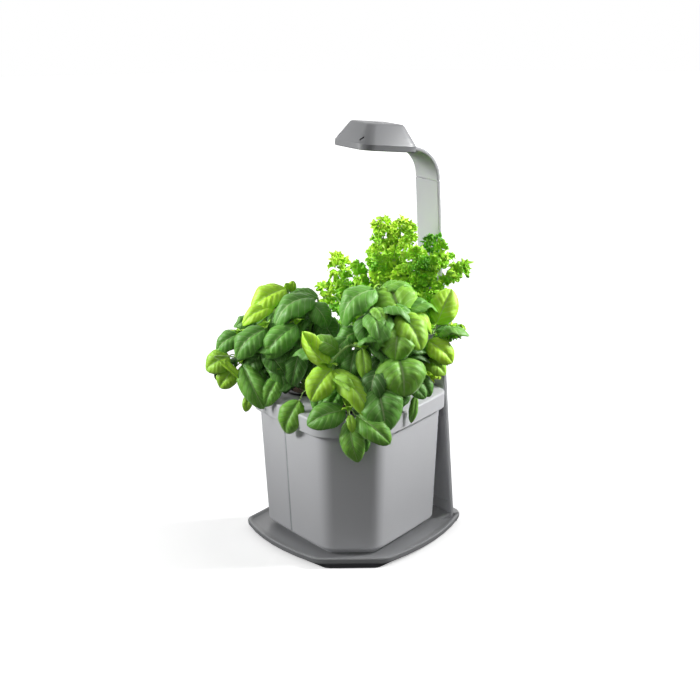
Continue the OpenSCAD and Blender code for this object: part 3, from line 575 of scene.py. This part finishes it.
# %% [markdown]
# Each plant keeps to its own third of the pot, so that it lifts out past its neighbours. The CAD solid of a plant
# says where its leaves may be: a sheet that grows by rule is kept only where its points lie near that solid, inside
# the plant's own third, above the lid and clear of the post.

# %% Where a plant may grow
SECTORS = {"basil_right": (-90, 42), "basil_left": (167, 270), "parsley_back": (42, 167)}
LID_TOP, POST_CLEAR, SECTOR_MARGIN = 160, 94, 1.5
plant_room = {}
for name in SECTORS:
    made = bmesh.new()
    made.from_mesh(nodes[name].data)
    plant_room[name] = BVHTree.FromBMesh(made)
    made.free()


def sector_room(name, point):
    """How far a point lies inside the plant's third of the pot, in mm."""
    first, last = (math.radians(a) for a in SECTORS[name])
    x, y = point[0] / MM, point[1] / MM
    return min(y * math.cos(first) - x * math.sin(first), x * math.sin(last) - y * math.cos(last))


def may_grow(name, points, reach):
    """True if all the points are in the plant's third, above the lid, before the post and near its solid."""
    for point in points:
        if sector_room(name, point) < SECTOR_MARGIN or point[2] < LID_TOP * MM or point[1] > POST_CLEAR * MM:
            return False
        if plant_room[name].find_nearest(Vector(point))[3] > reach * MM:
            return False
    return True


print("a place in the left basil may hold a leaf:", may_grow("basil_left", [seen(-60, -10, 215)], 12))

# %% [markdown]
# ### The basil
#
# The leaves that the photograph shows are placed one by one, in whole millimetres of its view: across, towards the
# viewer and up. Each has its base, its tip, the way its face looks, its width, its tone and what bends it.

# %% Photographed leaves of the right plant
right_leaves = [
    # base            tip               face                 width tone   bends, where not as usual
    ((53, 62, 260), (40, 24, 282), (-0.1, 0.5, 0.85), 47, 0.25, dict(arch=0.16, roll=1.3)),
    ((53, 64, 259), (75, 88, 228), (0.35, 0.85, 0.4), 33, 0.5, dict(arch=0.12, roll=0.8)),
    ((54, 58, 258), (88, 56, 238), (0.4, 0.3, 0.85), 22, 0.75, dict(arch=0.2, roll=0.6)),
    ((52, 72, 248), (47, 94, 218), (-0.1, 0.9, 0.5), 38, 0.15, dict(arch=0.16, roll=1.1)),
    ((49, 76, 216), (57, 106, 184), (0.15, 0.75, 0.65), 50, 0.1, dict(arch=0.24, roll=1.2)),
    ((28, 92, 192), (38, 118, 149), (0.1, 0.95, 0.35), 41, -0.25, dict(arch=0.14, roll=0.8)),
    ((-15, 86, 205), (25, 113, 163), (0.3, 0.8, 0.55), 27, 0.65, dict(arch=0.12, roll=1.6)),
    ((-15, 96, 199), (6, 108, 187), (0.2, 0.8, 0.6), 13, 0.4, dict(arch=0.15, roll=-1.5)),
    ((-17, 84, 206), (-39, 102, 178), (-0.2, 0.9, 0.4), 30, 0.75, dict(arch=0.16, roll=0.7)),
    ((-20, 84, 207), (-47, 92, 246), (0.5, 0.75, 0.35), 23, 1.0, dict(arch=-0.1, roll=-1.2, curl=0.0)),
    ((-11, 72, 221), (-38, 74, 234), (0.1, 0.75, 0.7), 22, 0.15, dict(arch=0.2, roll=0.8)),
    ((14, 82, 226), (17, 96, 197), (0.0, 1.0, 0.3), 17, 0.45, dict(arch=0.1, roll=1.8)),
    ((6, 66, 221), (0, 78, 190), (-0.1, 0.95, 0.3), 25, -0.35, dict(arch=0.14, roll=0.9)),
    ((-4, 100, 166), (-42, 114, 156), (0.0, 0.8, 0.6), 28, -0.05, dict(arch=0.16, roll=1.0)),
    ((0, 108, 157), (8, 122, 117), (-0.2, 0.95, 0.2), 24, 0.05, dict(arch=0.12, roll=0.9)),
    ((8, 108, 162), (42, 122, 138), (0.2, 0.9, 0.4), 26, 0.0, dict(arch=0.14, roll=0.9)),
    ((1, 112, 164), (4, 120, 148), (0.1, 1.0, 0.1), 9, 0.5, dict(arch=0.1)),
    ((12, 106, 150), (18, 114, 126), (0.3, 0.95, 0.1), 12, -0.2, dict(arch=0.1)),
    ((91, 42, 242), (107, 30, 277), (0.1, 0.8, 0.5), 28, 0.85, dict(arch=0.1, roll=0.6, curl=0.0)),
    ((82, 64, 229), (107, 74, 210), (0.15, 0.8, 0.6), 25, 1.0, dict(arch=0.14, roll=0.7)),
    ((80, 60, 208), (100, 68, 196), (0.2, 0.7, 0.7), 20, 0.6, dict(arch=0.14, roll=0.7)),
    ((28, 44, 280), (-9, 54, 247), (-0.45, 0.6, 0.65), 36, -0.1, dict(arch=0.26, roll=1.2)),
    ((69, 62, 170), (65, 68, 143), (0.3, 0.95, 0.1), 11, 0.05, dict(arch=0.06, roll=2.2, curl=0.1)),
    ((62, 84, 190), (78, 96, 178), (0.1, 0.9, 0.4), 16, -0.3, {}),
    ((58, 82, 182), (50, 98, 168), (-0.1, 0.9, 0.3), 15, -0.45, {}),
    ((72, 60, 192), (84, 68, 172), (0.2, 0.9, 0.3), 17, -0.35, {}),
    ((-8, 70, 180), (-24, 90, 158), (-0.2, 0.9, 0.4), 20, -0.1, {}),
    ((-24, 62, 190), (-34, 82, 158), (-0.3, 0.9, 0.3), 20, -0.2, {}),
    ((-52, 62, 166), (-68, 60, 130), (-0.3, 0.9, 0.3), 26, 0.1, dict(arch=0.22, roll=1.0, curl=0.1)),
    ((-2, 60, 232), (-22, 72, 206), (-0.2, 0.9, 0.4), 26, -0.1, dict(arch=0.16)),
    ((-14, 58, 214), (-12, 74, 186), (0.0, 0.95, 0.3), 25, -0.45, {}),
    ((10, 50, 238), (-12, 52, 222), (-0.1, 0.8, 0.6), 24, -0.2, dict(arch=0.16)),
    ((-20, 44, 200), (-34, 62, 178), (-0.1, 0.9, 0.3), 24, -0.5, {}),
]
print(len(right_leaves), "leaves placed on the right plant")

# %% Photographed leaves of the left plant
left_leaves = [
    # base             tip                 face                 width tone   bends, where not as usual
    ((-38, -8, 260), (-80, 14, 238), (-0.3, 0.55, 0.75), 34, -0.3, dict(arch=0.22, roll=1.3)),
    ((-40, -2, 256), (-22, 8, 233), (0.4, 0.8, 0.4), 25, -0.2, dict(arch=0.16, roll=1.0)),
    ((-34, -22, 258), (-72, -36, 252), (-0.2, 0.3, 0.9), 24, -0.35, dict(arch=0.22, roll=1.2)),
    ((-68, -22, 268), (-105, -8, 250), (-0.2, 0.75, 0.65), 28, 1.0, dict(arch=0.12, roll=0.5)),
    ((-80, -10, 251), (-114, 2, 236), (-0.1, 0.7, 0.7), 19, 0.95, dict(arch=0.16, roll=0.6)),
    ((-84, -4, 234), (-100, 8, 228), (-0.1, 0.7, 0.7), 12, 0.8, dict(arch=0.16)),
    ((-63, -26, 264), (-60, -24, 276), (0.1, 0.9, 0.3), 9, 1.0, dict(arch=0.1, curl=0.0)),
    ((-64, -27, 264), (-68, -22, 274), (0.1, 0.9, 0.3), 8, 0.9, dict(arch=0.1, curl=0.0)),
    ((-106, -20, 235), (-122, -18, 228), (-0.2, 0.8, 0.6), 16, -0.3, {}),
    ((-80, 0, 246), (-84, 8, 230), (-0.2, 0.9, 0.3), 12, -0.4, {}),
    ((-89, 8, 231), (-121, 18, 203), (-0.3, 0.8, 0.55), 31, -0.25, dict(arch=0.2, roll=1.2)),
    ((-56, 14, 236), (-90, 28, 206), (-0.2, 0.85, 0.5), 33, -0.1, dict(arch=0.18, roll=1.6)),
    ((-115, -2, 224), (-144, -2, 203), (-0.2, 0.8, 0.6), 22, -0.2, dict(arch=0.2, roll=1.1)),
    ((-128, 6, 201), (-154, 8, 187), (-0.1, 0.85, 0.5), 24, 0.55, dict(arch=0.14, roll=0.7)),
    ((-138, 12, 198), (-111, 18, 174), (0.3, 0.6, 0.7), 9, 0.9, dict(arch=0.04, roll=-1.2)),
    ((-122, 4, 188), (-140, 6, 166), (-0.1, 0.9, 0.4), 22, 0.6, {}),
    ((-114, 8, 192), (-92, 30, 150), (0.0, 0.95, 0.3), 26, 0.0, dict(arch=0.12, roll=1.1)),
    ((-76, 20, 180), (-90, 30, 152), (-0.2, 0.9, 0.4), 21, 0.0, {}),
    ((-107, 8, 160), (-112, 10, 140), (0.0, 1.0, 0.2), 10, 0.6, dict(arch=0.1, roll=0.4)),
    ((-90, 14, 210), (-68, 24, 186), (0.2, 0.9, 0.3), 22, -0.5, {}),
    ((-52, 14, 212), (-62, 26, 172), (0.0, 0.95, 0.3), 23, -0.5, {}),
    ((-94, 4, 204), (-112, 8, 180), (-0.2, 0.9, 0.3), 22, -0.5, {}),
    ((-96, 6, 190), (-104, 14, 160), (0.0, 0.9, 0.3), 20, -0.45, {}),
    ((-32, -8, 238), (-16, -6, 214), (0.2, 0.9, 0.3), 26, -0.4, {}),
    ((-38, 2, 216), (-30, 6, 188), (0.1, 0.95, 0.2), 24, -0.5, {}),
    ((-44, -4, 200), (-34, 0, 172), (0.1, 0.95, 0.2), 24, -0.55, {}),
]
print(len(left_leaves), "leaves placed on the left plant")

# %% [markdown]
# Basil grows in upright stems with a pair of leaves at every joint, each pair turned a quarter round from the one
# below. The stems come first. A placed leaf is joined to the nearest stem by its stalk. The leaves that the
# photograph doesn't show grow by rule round the stems, a little at random. They and their stalks are darker than
# the placed leaves, and their tone rises with height. The paler top is the young leaves' own colour. The
# darkness low down and inside the plant is painted shade.

# %% Stems
right_root, left_root, back_root = (1, 48), (-42, -23), (41, -25)
PLUG_TOP = 152


def stems_from(root, ways):
    """Smooth stems from the plug to the top of each way, which is a list of places in the view."""
    spread = []
    for number, way in enumerate(ways):
        angle = 2.4 * number
        start = seen(root[0] + 4 * math.cos(angle), root[1] + 4 * math.sin(angle), PLUG_TOP)
        spread.append(smooth_path([start] + [seen(*corner) for corner in way]))
    return spread


right_stems = stems_from(right_root, [
    [(20, 56, 195), (44, 62, 230), (53, 62, 259)],
    [(-4, 62, 180), (-14, 78, 200), (-19, 85, 208)],
    [(22, 62, 185), (40, 72, 205), (50, 76, 217)],
    [(8, 74, 172), (6, 96, 176), (0, 104, 166)],
    [(40, 54, 190), (70, 56, 220), (84, 52, 236)],
    [(6, 50, 210), (22, 48, 260), (27, 45, 281)],
    [(-12, 66, 200), (-20, 86, 209), (0, 82, 229), (15, 78, 222)],
    [(18, 70, 178), (26, 86, 190), (28, 92, 193)],
    [(44, 50, 178), (64, 62, 186), (70, 62, 176)],
    [(30, 44, 200), (44, 30, 235), (52, 26, 250)],
])
left_stems = stems_from(left_root, [
    [(-44, -16, 205), (-40, -8, 240), (-38, -6, 260)],
    [(-54, -22, 210), (-64, -22, 250), (-66, -24, 267)],
    [(-68, -14, 185), (-98, -4, 206), (-118, 0, 222)],
    [(-64, -10, 190), (-82, 2, 216), (-88, 6, 232)],
    [(-48, -6, 200), (-54, 10, 225), (-56, 14, 237)],
    [(-60, -6, 170), (-72, 12, 178), (-78, 20, 181)],
    [(-72, -12, 176), (-102, 2, 184), (-116, 8, 194)],
    [(-46, -34, 205), (-54, -48, 235), (-60, -54, 246)],
    [(-66, -30, 190), (-88, -38, 215), (-98, -42, 226)],
    [(-40, -18, 200), (-32, -22, 240), (-34, -24, 257)],
])
print(len(right_stems), "and", len(left_stems), "stems")

# %% Growing by rule
random = np.random.default_rng(7)
FULLNESS = 1.12                      # placed leaves are this much wider than they look in the photograph
BASIL_LEAVES, TRIES = 115, 9000      # leaves by rule on each basil, and how often one is tried
LEAF_SPACING, NEAR_SOLID = 9, 15     # mm between the middles of leaves, and from the CAD solid
CLEAR_ROUND, CLEAR_BEHIND = 24, 8    # mm that a placed leaf keeps free in the view, and in depth


def photo_place(points):
    """Where points fall across and up in the view, in mm, and how near to the viewer they are."""
    return points @ ACROSS / MM, points @ UP / MM - 0.27 * points @ TOWARDS / MM, points @ TOWARDS / MM


def hides_a_placed_leaf(middle, placed):
    """True if a leaf's middle would stand in front of a placed leaf, as the viewer sees it."""
    across, up, near = photo_place(middle)
    for other in placed:
        a, u, n = photo_place(other)
        if math.hypot(across - a, up - u) < CLEAR_ROUND and near > n - CLEAR_BEHIND:
            return True
    return False


def join_to_stem(stalks, stems, base, start, tone):
    """A leaf's stalk: a curve from the nearest stem into the leaf's base."""
    line = np.concatenate(stems)
    below = line[line[:, 2] <= base[2] + 4 * MM]
    gap = np.linalg.norm(below - base, axis=1)
    root = below[int(np.argmin(gap))]
    reach = float(gap.min())
    if reach < 1.0 * MM:
        return
    rise = unit(np.array((0, 0, 1.0)) + unit(base - root))
    tube(stalks, smooth_path([root, root + rise * reach * 0.35, base - start * reach * 0.3, base + start * MM], 5),
         0.95, 0.6, tone, sides=6)


def turned(angle, pitch):
    """A direction: angle round from +X, pitch up from level, in radians."""
    return np.array((math.cos(angle) * math.cos(pitch), math.sin(angle) * math.cos(pitch), math.sin(pitch)))


def dress_basil(name, stems, placed_leaves):
    """Leaves and stalks of one basil plant: the placed leaves, a tuft on each stem, then leaves by rule."""
    leaves, stalks = Foliage(), Foliage()
    placed, middles = [], []
    for base, tip, face, width, tone, bends in placed_leaves:
        base, tip = seen(*base), seen(*tip)
        grid, start = basil_leaf(leaves, base, tip, seen(*face) / MM, width * FULLNESS, tone,
                                 phase=random.uniform(0, 6), **bends)
        placed.append(grid[LEAF_ROWS // 2, LEAF_COLUMNS // 2])
        middles.append(placed[-1])
        join_to_stem(stalks, stems, base, start, 0.3)
    for line in stems:
        tube(stalks, line, 1.9, 1.1, 0.0, sides=9)
        for number in range(4):
            way = turned(number * math.pi / 2 + random.uniform(-0.3, 0.3), random.uniform(0.3, 1.0))
            size = random.uniform(8, 15)
            if may_grow(name, [line[-1] + way * size * MM], 20):
                basil_leaf(leaves, line[-1] - way * MM, line[-1] + way * size * MM, UP - way * 0.3, size * 0.6,
                           0.7, roll=-0.8, curl=0.1)
    joints = np.concatenate([line[4:] for line in stems])
    axis = np.mean([line[0] for line in stems], axis=0)
    grown = 0
    for attempt in range(TRIES):
        if grown >= BASIL_LEAVES:
            break
        at = joints[random.integers(len(joints))]
        away = at - axis
        angle = math.atan2(away[1], away[0]) + random.normal(0, 1.1)
        size = random.uniform(24, 42)
        out = turned(angle, random.uniform(-0.9, 0.3))
        base = at + turned(angle, random.uniform(0, 0.6)) * random.uniform(4, 14) * MM
        tip = base + out * size * MM
        middle = (base + tip) / 2
        if min(float(np.linalg.norm(middle - other)) for other in middles) < LEAF_SPACING * MM:
            continue
        side = unit(np.cross(UP, out)) * size * 0.33 * MM
        if not may_grow(name, [base, middle, tip, middle + side, middle - side], NEAR_SOLID):
            continue
        if hides_a_placed_leaf(middle, placed):
            continue
        # Painted shade: leaves by rule and their stalks are darker than placed ones, darkest low down inside the
        # plant; the paler top is young basil's own green
        height = (middle[2] / MM - LID_TOP) / 110
        _, start = basil_leaf(
            leaves, base, tip, unit(UP + turned(angle, 0) * random.uniform(0.0, 0.8)),
            size * random.uniform(0.66, 0.84), random.uniform(-1.05, -0.5) + 0.75 * height,
            arch=random.uniform(0.1, 0.22), roll=random.uniform(0.8, 1.6), curl=random.uniform(0.0, 0.2),
            sway=random.uniform(-0.06, 0.06), phase=random.uniform(0, 6))
        join_to_stem(stalks, stems, base, start, 0.1)
        middles.append(middle)
        grown += 1
    print(name, "placed", len(placed), "grown", grown)
    return leaves, stalks


BASIL_THICKNESS, PARSLEY_THICKNESS = 0.4, 0.35


def thin(piece, thickness_mm):
    """Gives the sheets of a piece their real thickness."""
    shell = piece.modifiers.new("thickness", "SOLIDIFY")
    shell.thickness = thickness_mm * MM
    shell.offset = 0


for name, stems, placed, body in (("basil_right", right_stems, right_leaves, "plant_right"),
                                  ("basil_left", left_stems, left_leaves, "plant_left")):
    leaves, stalks = dress_basil(name, stems, placed)
    leaf_piece = leaves.to_object(name + "_leaves", basil_skin)
    thin(leaf_piece, BASIL_THICKNESS)
    stalk_piece = stalks.to_object(name + "_stalks", basil_stalk)
    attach(leaf_piece, body)
    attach(stalk_piece, body)
    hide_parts(name)
    print(name, len(leaf_piece.data.polygons), "faces")

# %% [markdown]
# ### The parsley
#
# Curly parsley is a spray of small fans. Each fan is cut into lobes and teeth, and its edge is too long for it, so
# it ruffles. Three fans make a leaflet and five leaflets the end of a stalk. A fan is a grid in polar
# coordinates: its outline gives the lobes, and a wave that grows towards the edge gives the ruffle.

# %% The parsley fan
FAN_RINGS, FAN_SPOKES = 6, 41


def parsley_fan(foliage, base, ahead, face, radius, tone, phase):
    """One ruffled fan of a radius in mm, opening ahead from its base."""
    t = np.linspace(0.05, 1, FAN_RINGS)[:, None]
    turn = np.linspace(-1.5, 1.5, FAN_SPOKES)[None, :]
    ex = unit(ahead)
    ez = unit(face - np.dot(face, ex) * ex)
    ey = np.cross(ez, ex)
    lobes = np.abs(np.cos(2.6 * turn)) ** 0.6
    teeth = 0.11 * np.cos(15.6 * turn)
    reach = radius * MM * (0.48 + 0.46 * lobes + teeth) * (1 - 0.10 * turn ** 2)
    notched = 1 + (reach / (radius * MM) - 1) * t ** 1.5
    spread = radius * MM * t * notched
    ruffle = radius * MM * 0.30 * t ** 2 * np.sin(7.8 * turn + phase)
    droop = -radius * MM * 0.28 * t ** 2 * (0.8 + 0.5 * np.cos(turn))
    grid = (base + ex * (spread * np.cos(turn))[..., None] + ey * (spread * np.sin(turn))[..., None]
            + ez * (ruffle + droop)[..., None])
    foliage.sheet(grid, tone)


def parsley_leaf(leaves, stalks, at, ahead, size, tone):
    """The end of a stalk: leaflets of three fans each, size across in mm."""
    ahead = unit(ahead)
    sideways = unit(np.cross(ahead, UP + 0.01))
    lift = np.cross(sideways, ahead)
    for lean, far in ((-1.5, 0.16), (-0.8, 0.34), (0.0, 0.44), (0.8, 0.34), (1.5, 0.16)):
        way = unit(ahead * math.cos(lean) + sideways * math.sin(lean) + lift * random.uniform(-0.35, 0.45))
        tip = at + way * size * far * MM
        tube(stalks, smooth_path([at, (at + tip) / 2 + lift * 0.6 * MM, tip], 3), 0.5, 0.35, 0.4, sides=5)
        for fan_lean in (-0.9, 0.0, 0.9):
            fan_way = unit(way * math.cos(fan_lean) + sideways * math.sin(fan_lean)
                           + UP * random.uniform(-0.25, 0.5))
            face = unit(UP * random.uniform(0.3, 1.0) + TOWARDS * random.uniform(-0.3, 1.0)
                        + sideways * random.uniform(-0.6, 0.6))
            parsley_fan(leaves, tip, fan_way, face, size * random.uniform(0.28, 0.38),
                        tone + random.uniform(-0.3, 0.3), random.uniform(0, 6.28))


# %% Photographed parsley
parsley_ends = [
    # place           size tone
    ((37, -20, 330), 21, 0.85), ((55, -10, 333), 20, 0.95), ((64, -8, 328), 16, 0.6),
    ((38, -12, 303), 25, 0.8), ((31, 0, 296), 19, 0.1), ((61, -5, 316), 21, 0.75),
    ((67, 6, 299), 27, 0.4), ((76, 12, 296), 18, -0.4), ((86, -20, 313), 23, -0.5),
    ((94, -6, 300), 28, 0.35), ((110, 0, 286), 28, 0.3), ((37, 0, 281), 24, 0.7),
    ((58, 8, 283), 22, 0.75), ((-9, -66, 278), 27, 0.8), ((13, -25, 277), 26, 0.3),
    ((-21, -94, 250), 23, 0.7), ((-20, -98, 236), 21, 0.85), ((80, 14, 261), 26, 0.45),
    ((93, 4, 275), 22, 0.3), ((17, -4, 242), 26, 0.1), ((106, 16, 232), 20, 0.75),
    ((84, 6, 176), 20, 0.8), ((48, -2, 300), 22, 0.5), ((50, -14, 318), 20, 0.7),
    ((0, -50, 262), 24, 0.2), ((70, 2, 275), 22, 0.1),
]
parsley_leaves, parsley_stalks = Foliage(), Foliage()
crown = seen(*back_root, PLUG_TOP)


def parsley_stalk(at, tone):
    """A thin stalk that leaves the crown upright and bends out to its leaf. Gives its last direction."""
    foot = crown + seen(random.uniform(-5, 5), random.uniform(-5, 5), 0)
    out = at - foot
    middle = foot + out * 0.5 - np.array((out[0], out[1], 0)) * 0.14 + UP * 0.06 * float(np.linalg.norm(out))
    line = smooth_path([foot, middle, at], 9)
    tube(parsley_stalks, line, 1.1, 0.6, tone, sides=6)
    return unit(line[-1] - line[-3])


for place, size, tone in parsley_ends:
    at = seen(*place)
    ahead = parsley_stalk(at, 0.4)
    parsley_leaf(parsley_leaves, parsley_stalks, at, ahead, size * 1.15, tone)
print(len(parsley_ends), "parsley ends placed")

# %% Parsley by rule
PARSLEY_ENDS, END_SPACING, END_MARGIN = 60, 10, 14     # how many, mm apart, mm inside the parsley's third
END_BOTTOM, END_BACK = 178, 88                         # mm up, mm towards the post
ends = np.array([seen(*place) for place, _, _ in parsley_ends])
taken = list(ends)
grown = 0
for attempt in range(3000):
    if grown >= PARSLEY_ENDS:
        break
    goal = ends[random.integers(len(ends))]
    at = crown + (goal - crown) * random.uniform(0.55, 0.97) + random.normal(0, 8, 3) * MM
    if sector_room("parsley_back", at) < END_MARGIN or at[2] < END_BOTTOM * MM or at[1] > END_BACK * MM:
        continue
    if min(float(np.linalg.norm(at - other)) for other in taken) < END_SPACING * MM:
        continue
    # Painted shade: ends by rule and their stalks are darker than placed ones, darkest low down inside the spray;
    # the paler top is young parsley's own green
    height = (at[2] / MM - 180) / 130
    ahead = parsley_stalk(at, 0.2)
    parsley_leaf(parsley_leaves, parsley_stalks, at, ahead, random.uniform(21, 28),
                 random.uniform(-0.7, 0.1) + 0.7 * height)
    taken.append(at)
    grown += 1
print(grown, "parsley ends grown by rule")

parsley_skin = leaf_material("curly parsley leaf", "2F8412", "88D420", "CCF840", "A8E04A", 0.5, 1.0, veins=False)
parsley_stem = leaf_material("parsley stalk", "6FA040", "9CCB5C", "CBE88C", "CBE88C", 0.45, 1.0, veins=False)
parsley_piece = parsley_leaves.to_object("parsley_leaves", parsley_skin)
thin(parsley_piece, PARSLEY_THICKNESS)
stalk_piece = parsley_stalks.to_object("parsley_stalks", parsley_stem)
for piece in (parsley_piece, stalk_piece):
    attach(piece, "plant_back")
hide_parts("parsley_back")
print("parsley", len(parsley_piece.data.polygons), "faces")

# %% [markdown]
# ### The growing plugs
#
# A plug is a plain peg of peat bound with latex. Its side is crumbly and its top has a dimple that the seed went
# into. It is turned from a profile as rings of points, and noise pushes every point inward by up to a millimetre.

# %% Peat plugs
peat, tree, place = new_material("bound peat")
crumbs = add(tree, "ShaderNodeTexNoise", {"Vector": place, "Scale": per_metre(1.6), "Detail": 6.0})
brown = add(tree, "ShaderNodeValToRGB", {"Fac": crumbs.outputs[0]})
brown.color_ramp.elements[0].position, brown.color_ramp.elements[1].position = 0.35, 0.7
brown.color_ramp.elements[0].color, brown.color_ramp.elements[1].color = linear("2E2015"), linear("6B4E33")
peat_bump = add(tree, "ShaderNodeBump", {"Height": crumbs.outputs[0], "Distance": 0.8 * MM, "Strength": 0.8})
peat_body = add(tree, "ShaderNodeBsdfPrincipled", {"Base Color": brown.outputs[0], "Roughness": 0.95, "IOR": 1.4,
                                                   "Normal": peat_bump.outputs[0]})
finish_with(tree, peat_body.outputs[0])


def peat_plug(node):
    """A crumbly peg in the place of a CAD plug, from its box."""
    low, high = (np.array(corner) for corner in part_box(node))
    centre, radius, height = (low + high) / 2, (high[0] - low[0]) / 2, high[2] - low[2]
    turn = np.arange(48) / 48 * 2 * math.pi
    profile = [(0.02, 0.0), (0.5, 0.0), (0.9, 0.0)] + [(0.97, h) for h in np.linspace(0.02, 0.96, 22)]
    profile += [(r, 1.0 - 0.12 * max(0, 1 - r / 0.35)) for r in np.linspace(0.93, 0.02, 14)]
    grid = np.array([[(centre[0] + radius * r * math.cos(a), centre[1] + radius * r * math.sin(a),
                       low[2] + height * h) for a in turn] for r, h in profile])
    for row in grid:
        for point in row:
            rough = noise.noise(Vector(point) * per_metre(5)) + 0.5 * noise.noise(Vector(point) * per_metre(2))
            pull = np.array((centre[0], centre[1], point[2])) - point
            point += unit(pull) * (0.35 + 0.35 * rough) * MM if np.linalg.norm(pull) > 2 * MM else 0
    peg = Foliage()
    peg.sheet(grid, 0.0, closed=True)
    return peg.to_object(node.replace("grow_plug", "peat_plug"), peat)


for side in ("back", "left", "right"):
    plug = peat_plug("grow_plug_" + side)
    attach(plug, "plant_" + side)
    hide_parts("grow_plug_" + side)
print("three plugs made")
